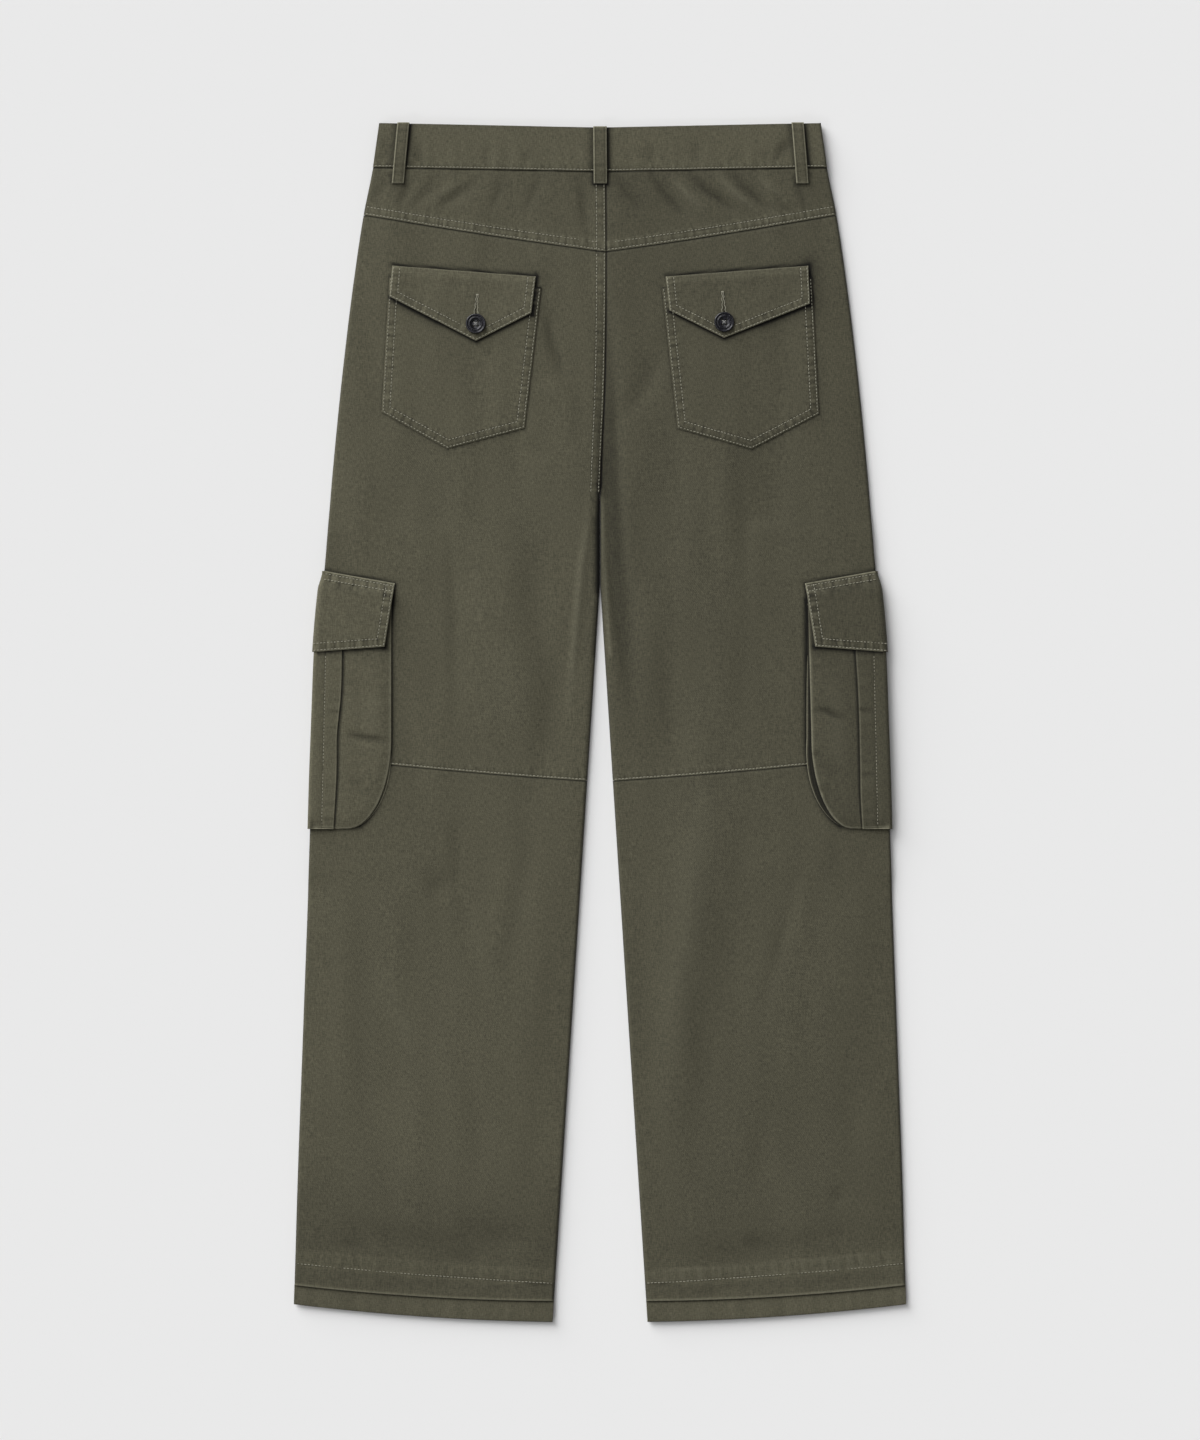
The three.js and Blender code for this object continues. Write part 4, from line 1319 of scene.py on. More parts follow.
@dataclass(frozen=True)
class FrontPanel:
    """The front of one leg, from the waist seam to the turned hem that shows past the back's."""

    side: Side
    step: float = 5.0
    rim: float = 0.55
    hem_depth: float = 17.0
    creases: tuple[Crease, ...] = ()

    def build(self, stitches: StitchBox) -> Piece:
        """Makes the panel.

        Args:
            stitches: not used.

        Returns:
            The panel.
        """
        outline = DRAPE.outline
        ends = (0.0, 0.15, 0.4, 0.8, 2.0)
        down = ((0.0, 2.0), (0.0, 0.15, 0.4, 0.8, 1.5, 4.0, 8.0, 12.0, 14.5, *np.arange(15.5, 20, 0.6), 22.0))
        x, y = leg_grid(
            self.side, outline.waist, outline.front_hem, outline.front_inner, (ends, ends), down, self.step,
            self.step, FRONT_INSET,
        )
        out = self.side.value * x
        shown = 1 - smooth(0, 6, y - outline.back_hem.at(outline.share(out, y)))
        side_edge, inner_edge = outline.side(y), outline.inseam(y)
        grown = mix(inner_edge, side_edge, (out - out[:, :1]) / (out[:, -1:] - out[:, :1]))
        out = mix(out, grown, shown)
        x = self.side.value * out
        foot_line = outline.seam_line(self.side, outline.front_hem)
        to_foot = foot_line.nearest(x, y)[0]
        left = np.linalg.norm(np.stack([x - x[:, :1], y - y[:, :1]]), axis=0)
        right = np.linalg.norm(np.stack([x - x[:, -1:], y - y[:, -1:]]), axis=0)
        rounding = self.rim * (1 - arc_share(np.minimum(np.minimum(left, right), to_foot), self.rim))
        turning = (HEM - CLOTH) * (1 - smooth(self.hem_depth, self.hem_depth + 2, to_foot))
        floor = sum((crease.relief(x, y) for crease in self.creases), DRAPE.front_lift(out, y))
        pucker = 0.12 * ripple(x, 31 + self.side.value) * bell(to_foot - self.hem_depth + 2, 8)
        top = floor + CLOTH + turning + pucker - rounding
        inside, outside, pattern = (grid_of(x, y, z) for z in (floor + rounding, top, 0.0))
        # Painted shade: the crotch's gap darkened nearly to black, a dark line along the foot, and one under the
        # back's hem edge; the ripple is a random tone
        slit = smooth(95, 125, y) * (1 - smooth(2, 8, out))
        under_back = y - outline.back_hem.at(outline.share(out, y))
        wear_and_shade = -0.3 * bell(to_foot, 1.0) - slit + 0.1 * ripple(x, 33, (7.0, 13.0, 29.0)) * shown
        wear_and_shade = wear_and_shade - 0.5 * bell(under_back + 0.6, 1.0)
        return lay_cloth(
            f"front_{self.side.label}", inside, outside, wear_and_shade, TWILL_INSIDE,
        )


@dataclass(frozen=True)
class Button:
    """A sewn four-hole button with a raised rim, in the place of its node."""

    node: str
    radius: float = 8.8
    hole_radius: float = 0.95
    hole_at: float = 1.75
    segments: int = 56
    thread_radius: float = 0.34

    def build(self) -> Piece:
        """Makes the button and its thread.

        Returns:
            The button.
        """
        low, high = (np.array(corner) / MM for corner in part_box(self.node))
        centre = (low + high) / 2
        height = float(high[2] - low[2])
        faces_down = centre[2] < 3
        profile = (
            (0.0, 0.0), (0.66, 0.0), (0.9, 0.16), (0.985, 0.42), (1.0, 0.62), (0.992, 0.84), (0.965, 0.95),
            (0.93, 1.0), (0.865, 1.0), (0.835, 0.95), (0.815, 0.8), (0.79, 0.7), (0.75, 0.67), (0.705, 0.68),
            (0.685, 0.74), (0.665, 0.82), (0.635, 0.85), (0.575, 0.84), (0.55, 0.78), (0.53, 0.62),
            (0.5, 0.52), (0.45, 0.48), (0.36, 0.46), (0.22, 0.46), (0.0, 0.46),
        )
        turn = np.linspace(0, 2 * np.pi, self.segments, endpoint=False)
        rings, faces = [], []
        for share, level in profile[1:-1]:
            ring = np.stack([np.cos(turn), np.sin(turn)], 1) * share * self.radius
            rings.append(np.column_stack([ring, np.full(self.segments, level * height)]))
        count = len(rings)
        vertices = np.vstack([*rings, [[0, 0, 0]], [[0, 0, profile[-1][1] * height]]])
        for k in range(count - 1):
            for j in range(self.segments):
                a, b = k * self.segments + j, k * self.segments + (j + 1) % self.segments
                faces.append((a, b, b + self.segments, a + self.segments))
        under, over = count * self.segments, count * self.segments + 1
        for j in range(self.segments):
            nxt = (j + 1) % self.segments
            faces.append((nxt, j, under))
            faces.append(((count - 1) * self.segments + j, (count - 1) * self.segments + nxt, over))
        disc = write_mesh(f"{self.node}_disc", vertices, faces)
        for kx in (-1, 1):
            for ky in (-1, 1):
                self.bore(disc, kx * self.hole_at, ky * self.hole_at, height)
        self.settle(disc, centre, low[2] if not faces_down else high[2], faces_down)
        dress(disc, HORN, [self.node])
        self.thread(centre, low[2] if not faces_down else high[2], height, faces_down)
        return disc

    def bore(self, disc: Piece, x: float, y: float, height: float) -> None:
        """Cuts one hole through the disc, in its own frame.

        Args:
            disc: the button.
            x: place of the hole across.
            y: place of the hole along.
            height: the button's height.
        """
        sides = 16
        turn = np.linspace(0, 2 * np.pi, sides, endpoint=False)
        ring = np.stack([x + self.hole_radius * np.cos(turn), y + self.hole_radius * np.sin(turn)], 1)
        vertices = np.vstack([np.column_stack([ring, np.full(sides, z)]) for z in (-height, 2 * height)])
        walls = [(j, (j + 1) % sides, sides + (j + 1) % sides, sides + j) for j in range(sides)]
        faces = [*walls, tuple(reversed(range(sides))), tuple(range(sides, 2 * sides))]
        cutter = write_mesh("button_drill", vertices, faces)
        cut = disc.modifiers.new("hole", "BOOLEAN")
        cut.operation, cut.object, cut.solver = "DIFFERENCE", cutter, "EXACT"
        shaped = bpy.data.meshes.new_from_object(disc.evaluated_get(bpy.context.evaluated_depsgraph_get()))
        disc.modifiers.remove(cut)
        disc.data = shaped
        bpy.data.objects.remove(cutter)

    def settle(self, disc: Piece, centre: Array, base: float, faces_down: bool) -> None:
        """Moves the disc's mesh onto its seat."""
        flip = -1 if faces_down else 1
        for vertex in disc.data.vertices:
            x, y, z = vertex.co / MM
            vertex.co = (
                (centre[0] + x) * MM, (centre[1] + flip * y) * MM, (base + flip * z) * MM,
            )
        disc.data.update()

    def thread(self, centre: Array, base: float, height: float, faces_down: bool) -> None:
        """Makes the crossed thread that holds the button."""
        flip = -1 if faces_down else 1
        box = StitchBox(f"{self.node}_thread", radius=self.thread_radius, proud=0, thread=BUTTON_THREAD)
        level = base + flip * height * 0.56
        reach = self.hole_at * 0.93
        for shift in (-0.3, 0.3):
            for kx in (-1, 1):
                start = np.array([[centre[0] - reach + shift, centre[1] - kx * reach]])
                end = np.array([[centre[0] + reach + shift, centre[1] + kx * reach]])
                box.span(start, end, lambda x, y: np.full(x.shape, level))
        box.build()


@dataclass(frozen=True)
class Patch:
    """A pocket or flap with a straight top and a pointed foot, laid on the back."""

    name: str
    top: tuple[Point, Point]
    foot: tuple[Point, Point, Point]
    face: HeightAt
    lap: Lap
    top_profile: Lap | Tuck
    step: float = 1.25

    def edge_line(self) -> EdgeLine:
        """The sides and foot, from one end of the top to the other."""
        return traced(self.top[0], *self.foot, self.top[1])

    def cloth(self) -> Cloth:
        """The piece, ready to build."""
        top, foot = np.array(self.top, float), np.array(self.foot, float)
        spans = np.hypot(*np.diff(foot, axis=0).T)
        bend = spans[0] / spans.sum()
        width = float(np.hypot(*(top[1] - top[0])))
        left = stations(width * bend, self.lap.offsets, (0.0, 0.7), self.step)
        right = stations(width * (1 - bend), (0.0, 0.7), self.lap.offsets, self.step)
        past_bend = bend + right[1:] / (width * (1 - bend)) * (1 - bend)
        u = np.concatenate([left / (width * bend) * bend, past_bend])
        drops = [top[0, 1] - foot[0, 1], top[1, 1] - foot[2, 1], top[:, 1].mean() - foot[1, 1]]
        depth = float(np.mean(drops))
        v = (stations(depth, self.top_profile.offsets, self.lap.offsets, self.step) / depth)[:, None]
        along = np.clip(u / bend, 0, 1)[:, None]
        beyond = np.clip((u - bend) / (1 - bend), 0, 1)[:, None]
        foot_line = np.where(u[:, None] <= bend, mix(foot[0], foot[1], along), mix(foot[1], foot[2], beyond))
        top_line = mix(top[0], top[1], u[:, None])
        x, y = (mix(top_line[None, :, k], foot_line[None, :, k], v) for k in (0, 1))
        edges = [Edge(self.edge_line(), self.lap), Edge(EdgeLine(top), self.top_profile)]
        return Cloth(self.name, x, y, self.face, edges)


@dataclass(frozen=True)
class BackPocket:
    """A patch pocket on the seat, with its pointed flap, button and buttonhole."""

    side: Side
    pocket_top: tuple[Point, Point]
    pocket_foot: tuple[Point, Point, Point]
    flap_top: tuple[Point, Point]
    flap_foot: tuple[Point, Point, Point]
    button: Point
    hole_top: float
    proud: float = 0.9
    lean: float = 1.3
    pocket_lap: Lap = Lap(rows=(1.4, 7.2), band=8.4, swell=0.05, sink=0.26, pucker=0.3, soft=0.55, rub=0.05,
                          contrast=0.34, tone=-0.06, seed=41)
    flap_lap: Lap = Lap(rows=(1.2, 6.8), band=8.0, swell=0.1, sink=0.26, pucker=0.3, soft=0.2, rub=0.65,
                        contrast=0.34, tone=0.0, seed=42)
    flap_creases: tuple[Crease, ...] = ()

    def pocket_face(self, x: Array, y: Array) -> Array:
        """Outer face of the pocket before its edges are formed."""
        return DRAPE.back_face(self.side, x, y) + GAP + CLOTH

    def shades(self) -> tuple[Shade, ...]:
        """Painted shadows that the pocket and its flap cast on the back."""
        (a, b), foot = self.pocket_top, self.pocket_foot
        (c, d), tip = self.flap_top, self.flap_foot
        return (
            Shade(traced(a, *foot, b), 1.1, 0.5),
            Shade(traced(c, d).inset(-0.7, self.button), 1.7, 0.95),
            Shade(traced(tip[2], d), 2.8, 0.95),
            Shade(traced(tip[2], d), 9.0, 0.1 if self.side is Side.LEFT else 0.3),
        )

    def flap_face(self, x: Array, y: Array) -> Array:
        """Outer face of the flap: it rolls at its top and stands proud towards its foot."""
        to_top = traced(*self.flap_top).nearest(x, y)[0]
        foot = traced(self.flap_top[0], *self.flap_foot, self.flap_top[1])
        to_foot = foot.nearest(x, y)[0]
        bx, by = self.button
        pressed = np.exp(-(((x - bx) ** 2 + (y - by) ** 2) / 13**2))
        stand = self.proud * np.exp(-to_foot / 11) * smooth(5, 30, to_top) * (1 - pressed)
        rolled = 0.25 * bell(to_top, 3.5)
        rise = mix(GAP, 2 * GAP + CLOTH, smooth(0, 7, to_top))
        total = DRAPE.back_face(self.side, x, y) + rise + CLOTH + stand + rolled
        for crease in self.flap_creases:
            total = total + crease.relief(x, y)
        return total

    def build(self, stitches: StitchBox) -> None:
        """Makes the pocket, flap, button and buttonhole.

        Args:
            stitches: where the rows of stitches go.
        """
        label = self.side.label
        finish = POCKET_TWILL[self.side]
        patches = (
            Patch(f"back_pocket_{label}", self.pocket_top, self.pocket_foot, self.pocket_face,
                  self.pocket_lap, Tuck(depth=0, seed=43)),
            Patch(f"back_flap_{label}", self.flap_top, self.flap_foot, self.flap_face, self.flap_lap,
                  Lap(rows=(), band=3.0, swell=0.0, pucker=0.08, rim=1.15, rub=0.1, contrast=0.1, seed=44)),
        )
        lies_on = (f"back_{label}_cloth", f"back_pocket_{label}_cloth")
        for patch, below in zip(patches, lies_on):
            cloth = patch.cloth()
            if patch.name.startswith("back_pocket"):
                outer_part = self.flap_foot[:2] if self.side is Side.LEFT else self.flap_foot[:0:-1]
                outer, tip = np.array(outer_part, float)
                # Painted shadows of the flap on the pocket
                cloth.shades = (
                    Shade(traced(*self.flap_foot), 2.3, 0.95),
                    Shade(traced(self.flap_foot[2], self.flap_top[1]), 3.4, 0.95),
                    Shade(traced(mix(outer, tip, 0.1), mix(outer, tip, 0.55)), 5.5, 0.35),
                )
            else:
                # Painted shade in the buttonhole's gap, and painted shade and highlight of the flap's creases
                slit = np.array([self.button, (self.button[0], self.hole_top)], float)
                cloth.shades = (Shade(EdgeLine(slit), 0.8, 0.7),)
                cloth.tone = lambda x, y: sum((c.wear_and_shade(x, y) for c in self.flap_creases), np.zeros_like(x))
            cloth.build(finish, Slot.TWILL, [below])
            middle = tuple(np.mean([*patch.top, *patch.foot], axis=0))
            for row in patch.lap.rows:
                stitches.row(patch.edge_line().inset(row, middle), cloth.height, trim=1.2)
        Button(f"back_button_{label}").build()
        self.buttonhole(cloth.height)

    def buttonhole(self, face: HeightAt) -> None:
        """Makes the worked buttonhole above the button, which its button pulls open.

        Args:
            face: height of the flap's outer face.
        """
        box = StitchBox(f"buttonhole_{self.side.label}", radius=0.24, proud=0.14, thread=HOLE_THREAD)
        bx, by = self.button
        y = np.arange(by + 6.5, self.hole_top, 0.62)
        share = (self.hole_top - y) / (self.hole_top - by - 6.5)
        opening = 0.2 + 1.5 * share**2
        middle = bx - self.side.value * self.lean * (1 - share) + 0.3 * np.sin(y * 1.3)
        for flank in (-1, 1):
            inner = np.column_stack([middle + flank * opening, y])
            outer = np.column_stack([middle + flank * (opening + 0.8), y + 0.1])
            box.span(inner, outer, face)
        bar = np.linspace(-0.9, 0.9, 4) + middle[-1]
        box.span(np.column_stack([bar, np.full(4, self.hole_top - 0.2)]),
                 np.column_stack([bar, np.full(4, self.hole_top + 1.2)]), face)
        box.build()


@dataclass(frozen=True)
class CargoPocket:
    """A bellows pocket that wraps the thigh's side, with its box pleat, gusset and flap."""

    side: Side
    gusset_out: float
    gusset_corner: float
    pleat: tuple[Point, ...]
    pleat_stitch: tuple[Point, ...]
    creases: tuple[Crease, ...] = ()
    back_edge: float = 183
    front_shift: float = 25
    foot: float = -93.8
    corner_width: float = 39
    corner_height: float = 79
    below_flap: float = 15
    pleat_height: float = 0.75
    gape: float = 0.0
    gape_corner: float = 0.0
    clear: float = 0.7
    flap_back_top: Point = (179.9, 121.8)
    flap_side_top: Point = (242.5, 132.9)
    flap_back_foot: Point = (188.8, 66)
    flap_side_foot: Point = (253, 61.3)
    flap_front: float = 152
    lap: Lap = Lap(rows=(), band=1.4, swell=0.0, pucker=0.0, rim=1.1, seed=51)
    sunk: float = 1.15
    flap_lap: Lap = Lap(rows=(1.4, 7.4), band=8.6, swell=0.1, sink=0.26, pucker=0.3, rub=0.7,
                        contrast=0.55, seed=52)
    top_lap: Lap = Lap(rows=(2.6, 7.5), band=9, swell=0.1, sink=0.3, pucker=0.32, rub=0.75,
                       contrast=0.7, seed=54)

    top_face = 6.2
    pouch_high = 8.0
    pouch_low = 3.2
    flap_high = 10.0
    flap_low = 1.2

    def corner(self, turn: Array, push: float = 0.0, drop: float = 0.0) -> tuple[Array, Array]:
        """Places on the pouch's rounded lower corner, at turns from its side to its foot."""
        start = self.foot + self.corner_height
        out = self.back_edge + self.corner_width - (self.corner_width + push) * np.cos(turn)
        return out, start - (self.corner_height + drop) * np.sin(turn)

    def gaping(self, turn: Array) -> Array:
        """How far the pouch's edge stands off the outline at turns round its corner."""
        return self.gape * np.cos(turn) ** 2 + self.gape_corner * np.sin(2 * turn) ** 2

    def edge_points(self, gaping: bool = True) -> Array:
        """A pouch edge, outwards from the middle line, from its mouth to the side.

        Args:
            gaping: whether it is the pouch's own edge, and not the line where it joins the leg.

        Returns:
            The edge's places, one row each.
        """
        turn = np.linspace(0, np.pi / 2, 19)
        push = self.gaping(turn) if gaping else -np.full(19, self.gusset_out)
        out, y = self.corner(turn, -push, -np.maximum(push, 0) if gaping else 0.0)
        end = float(DRAPE.outline.side(self.foot)) + 1
        first = self.back_edge + (-0.2 * self.gape if gaping else -self.gusset_out)
        return np.vstack([[first, 108], np.column_stack([out, y]), [end, self.foot + 1.5]])

    def shades(self) -> tuple[Shade, ...]:
        """Painted shadows that the pocket casts on the leg."""
        mirror = np.array([self.side.value, 1])
        flap = np.array([self.flap_side_top, self.flap_back_top, self.flap_back_foot], float)
        pouch = self.edge_points(gaping=False) * mirror
        return (Shade(EdgeLine(pouch[:17]), 2.8, 0.95), Shade(EdgeLine(pouch[16:]), 1.4, 0.5),
                Shade(EdgeLine(flap * mirror), 1.8, 0.9))

    def flap_top_at(self, out: Array) -> Array:
        """Height along the garment of the flap's seam."""
        (ax, ay), (bx, by) = self.flap_back_top, self.flap_side_top
        return mix(ay, by, (out - ax) / (bx - ax))

    def wrap(self, rows: list[dict], node: str) -> Piece:
        """Makes a wall that goes over the back, round the leg's side and under the front.

        Args:
            rows: for each section its places across, heights of both faces and places along.
            node: the node that it stands for.

        Returns:
            The new object.
        """
        sign = self.side.value
        inner = np.stack([np.column_stack([sign * r["x"], r["y"], r["z"]]) for r in rows])
        outer = np.stack([np.column_stack([sign * r["ox"], r["y"], r["oz"]]) for r in rows])
        wear_and_shade = np.stack([r["wear_and_shade"] for r in rows])
        return lay_cloth(node, inner, outer, wear_and_shade, POUCH_TWILL[self.side])

    @staticmethod
    def section(back: float, front: float, reach: float, high: Array, low: float, across: Array) -> dict:
        """Inner face of one section and its outward directions.

        Args:
            back: distance out of its visible edge.
            front: distance out of its hidden edge.
            reach: how far out it goes round the leg.
            high: height of its inner face over the back.
            low: height of its inner face under the front.
            across: shares of the way from the visible edge to the fold.

        Returns:
            Places, heights and directions along the section.
        """
        radius = (high - low) / 2
        centre = reach - radius
        turn = np.linspace(np.pi / 2, -np.pi / 2, 15)[1:-1]
        under = np.linspace(0, 1, 9)
        x = np.concatenate([
            mix(back, centre, across), centre + radius * np.cos(turn), mix(centre, front, under),
        ])
        z = np.concatenate([
            np.full(len(across), high), (high + low) / 2 + radius * np.sin(turn), np.full(len(under), low),
        ])
        nx = np.concatenate([np.zeros(len(across)), np.cos(turn), np.zeros(len(under))])
        nz = np.concatenate([np.ones(len(across)), np.sin(turn), -np.ones(len(under))])
        return {"x": x, "z": z, "nx": nx, "nz": nz, "flat": len(across)}

    def pouch_relief(self, out: Array, y: Array) -> Array:
        """Relief of the pouch's visible face: pleat, swell, creases and puckers."""
        pleat = through(self.pleat, y)
        raised = self.pleat_height * smooth(-0.35, 0.45, out - pleat)
        seam = through(self.pleat_stitch, y)
        groove = -0.3 * bell(out - seam, 0.8)
        puckers = 0.3 * ripple(y, 53 + self.side.value, (6.1, 9.3, 15.5)) * plateau(0, 9, 5, out - pleat)
        edge_ripple = 0.35 * ripple(y, 57 + self.side.value, (7.3, 11.9, 17.0)) * bell(out - 190, 7)
        to_pleat = np.clip((pleat - out) / 20, 0, 1)
        swell = 0.9 * to_pleat * (1 - to_pleat) * 2 * plateau(-70, 40, 25, y)
        total = raised + groove + puckers + edge_ripple + swell
        for crease in self.creases:
            total = total + crease.relief(self.side.value * out, y)
        return total

    def pouch_face(self, x: Array, y: Array) -> Array:
        """Height of the pouch's visible face."""
        out = self.side.value * x
        edge = EdgeLine(self.edge_points()).nearest(out, y)
        sunk = self.sunk * bell(edge[0], 6)
        return self.pouch_high + CLOTH - sunk + self.pouch_relief(out, y) + self.lap.relief(*edge)

    def build_pouch(self) -> None:
        """Makes the pouch."""
        outline = DRAPE.outline
        start = self.foot + self.corner_height
        mouth = self.flap_top_at(self.back_edge) - self.below_flap
        straight = even_ends(float(mouth - start), (0.0, 1.0), 2.4)
        turn = np.linspace(0, np.pi / 2, 44)[1:]
        push = self.gaping(turn)
        corner_out, corner_y = self.corner(turn, -push, -push)
        edge_y = np.concatenate([mouth - straight, corner_y])
        straight_out = self.back_edge + self.gape * mix(-0.2, 1, straight / straight[-1])
        edge_out = np.concatenate([straight_out, corner_out])
        line = EdgeLine(self.edge_points())
        rows = []
        for y, back in zip(edge_y, edge_out):
            tilt = (y - self.foot) / (mouth - self.foot)
            reach = float(outline.side(y)) + self.clear
            flat_end = reach - (self.pouch_high - self.pouch_low) / 2
            pleat = float(through(self.pleat, y))
            width = flat_end - back
            seam = float(through(self.pleat_stitch, y))
            marks = np.concatenate([
                back + np.array([0, 0.12, 0.4, 0.8, 1.3, 3, 5.5, 8]) * min(1, (pleat - back) / 10),
                mix(min(back + 9, pleat - 1), pleat - 1, np.linspace(0, 1, 14)),
                pleat + np.array([-0.5, -0.2, 0.05, 0.3, 0.6]),
                mix(pleat + 1.5, seam - 1, np.linspace(0, 1, 5)), seam + np.array([-0.4, 0, 0.4]),
                mix(seam + 1.2, flat_end, np.linspace(0, 1, 3)),
            ])
            across = np.maximum.accumulate((marks - back) / width)
            part = self.section(back, back - self.front_shift, reach, self.pouch_high, self.pouch_low, across)
            (ax, ay), (bx, by) = self.flap_back_top, self.flap_side_top
            slope = (by - ay) / (bx - ax)
            part["y"] = y + slope * tilt * (np.minimum(part["x"], reach) - back)
            part["y"][part["flat"]:] = part["y"][part["flat"] - 1]
            top = part["nz"] > 0
            edge = line.nearest(part["x"], part["y"])
            part["z"] = part["z"] - np.where(part["nz"] == 1, self.sunk * bell(edge[0], 6), 0)
            relief = np.where(top, self.pouch_relief(part["x"], part["y"]) * np.clip(part["nz"], 0, 1), 0)
            relief = relief + np.where(part["nz"] == 1, self.lap.relief(*edge), 0)
            grow = np.maximum(CLOTH + relief, 0.1)
            part["ox"] = part["x"] + part["nx"] * grow
            part["oz"] = part["z"] + part["nz"] * grow
            # Abraded edge, painted highlight beside the pleat and painted shade in its fold
            rim = 0.65 * bell(edge[0] - 0.7, 0.65) + 0.4 * bell(part["x"] - pleat - 0.5, 0.6)
            rim = rim - 1.0 * bell(part["x"] - pleat + 0.7, 0.7)
            # Painted shade in the hollows of the puckers beside the pleat
            folds = ripple(part["y"], 53 + self.side.value, (6.1, 9.3, 15.5))
            gathered = smooth(-0.4, 0.5, ripple(part["y"], 58 + self.side.value, (29.0, 43.0, 71.0)))
            beside = plateau(1.5, 9.5, 2, part["x"] - pleat)
            rim = rim + 0.5 * gathered * np.minimum(folds + 0.1, 0.1) * beside
            # Painted shade along the stitches
            rim = rim - 0.25 * bell(part["x"] - seam, 0.7)
            # Painted shade and highlight of the creases
            for crease in self.creases:
                rim = rim + 1.3 * crease.wear_and_shade(self.side.value * part["x"], part["y"])
            # Painted shadows of the flap on the pouch
            flap = np.array([self.flap_back_top, self.flap_back_foot, self.flap_side_foot], float)
            for shade in (Shade(EdgeLine(flap[1:]), 2.4, 0.9), Shade(EdgeLine(flap[:2]), 4.0, 0.6)):
                rim = rim + shade.wear_and_shade(part["x"], part["y"])
            part["wear_and_shade"] = np.where(part["nz"] == 1, np.clip(rim, -1, 1), 0)
            rows.append(part)
        self.wrap(rows, f"cargo_pouch_{self.side.label}")

    def flap_edge(self) -> Array:
        """The flap's seam, back edge and foot, outwards from the middle line."""
        corners = (self.flap_side_top, self.flap_back_top, self.flap_back_foot, self.flap_side_foot)
        return np.array(corners, float)

    def flap_relief(self, out: Array, y: Array) -> tuple[Array, Array]:
        """Lift and relief of the flap's visible face."""
        corners = self.flap_edge()
        top = EdgeLine(corners[:2]).nearest(out, y)
        rest = EdgeLine(corners[1:]).nearest(out, y)
        lift = self.flap_lap.lift(*rest)
        relief = self.top_lap.relief(*top) + self.flap_lap.relief(*rest)
        crumple = 0.6 * bell(top[0] - 12, 4) * ripple(top[1], 55 + self.side.value, (9.0, 14.0, 23.0))
        return lift, relief - np.abs(crumple) * 0.8

    def flap_rise(self, out: Array, y: Array) -> Array:
        """Share of the way from the leg to the pouch that the flap has risen."""
        depth = EdgeLine(self.flap_edge()[:2]).nearest(out, y)[0]
        return smooth(1.5, 12.5, depth)

    def flap_face(self, x: Array, y: Array) -> Array:
        """Height of the flap's visible face."""
        out = self.side.value * x
        lift, relief = self.flap_relief(out, y)
        return mix(self.top_face + GAP, self.flap_high, self.flap_rise(out, y)) + CLOTH + lift + relief

    def build_flap(self) -> None:
        """Makes the flap."""
        outline = DRAPE.outline
        depth = self.flap_back_top[1] - self.flap_back_foot[1]
        from_top = (0.0, 0.12, 0.4, 0.8, 1.3, 2.0, 2.6, 3.2, 5, 6.9, 7.5, 8.1, 10)
        down = stations(depth, from_top, self.flap_lap.offsets, 2)
        rows = []
        edge_line, top_line = EdgeLine(self.flap_edge()[1:]), EdgeLine(self.flap_edge()[:2])
        for v in down / depth:
            rise = float(smooth(1.5, 12.5, v * depth))
            back = mix(self.flap_back_top[0], self.flap_back_foot[0], v)
            side_y = mix(self.flap_side_top[1], self.flap_side_foot[1], v)
            back_y = mix(self.flap_back_top[1], self.flap_back_foot[1], v)
            reach = float(outline.side(side_y)) + mix(0.6, self.clear + CLOTH + 0.9, rise)
            high = mix(self.top_face + GAP, self.flap_high, rise)
            low = mix(self.pouch_low, self.flap_low, rise)
            flat_end = reach - (high - low) / 2
            width = float(flat_end - back)
            across = stations(width, self.flap_lap.offsets, (0.0, 1.0), 2.2, count=24) / width
            part = self.section(back, self.flap_front, reach, high, low, across)
            part["y"] = mix(back_y, side_y, (np.minimum(part["x"], reach) - back) / (reach - back))
            part["y"][part["flat"]:] = part["y"][part["flat"] - 1]
            lift, relief = self.flap_relief(part["x"], part["y"])
            level = part["nz"] == 1
            part["z"] = part["z"] + np.where(level, lift, 0)
            grow = np.maximum(CLOTH + np.where(level, relief, 0), 0.12)
            part["ox"] = part["x"] + part["nx"] * grow
            part["oz"] = part["z"] + part["nz"] * grow
            near = edge_line.nearest(part["x"], part["y"])
            top = top_line.nearest(part["x"], part["y"])
            # Painted shade in the crumples under the top seam
            crumpled = bell(top[0] - 11, 3.5) * ripple(top[1], 55 + self.side.value, (9.0, 14.0, 23.0))
            flap_wear_and_shade = self.flap_lap.wear_and_shade(*near) + 0.8 * self.top_lap.wear_and_shade(*top) - 0.6 * np.abs(crumpled)
            part["wear_and_shade"] = np.where(level, np.clip(flap_wear_and_shade, -1, 1), 0)
            rows.append(part)
        self.wrap(rows, f"cargo_flap_{self.side.label}")

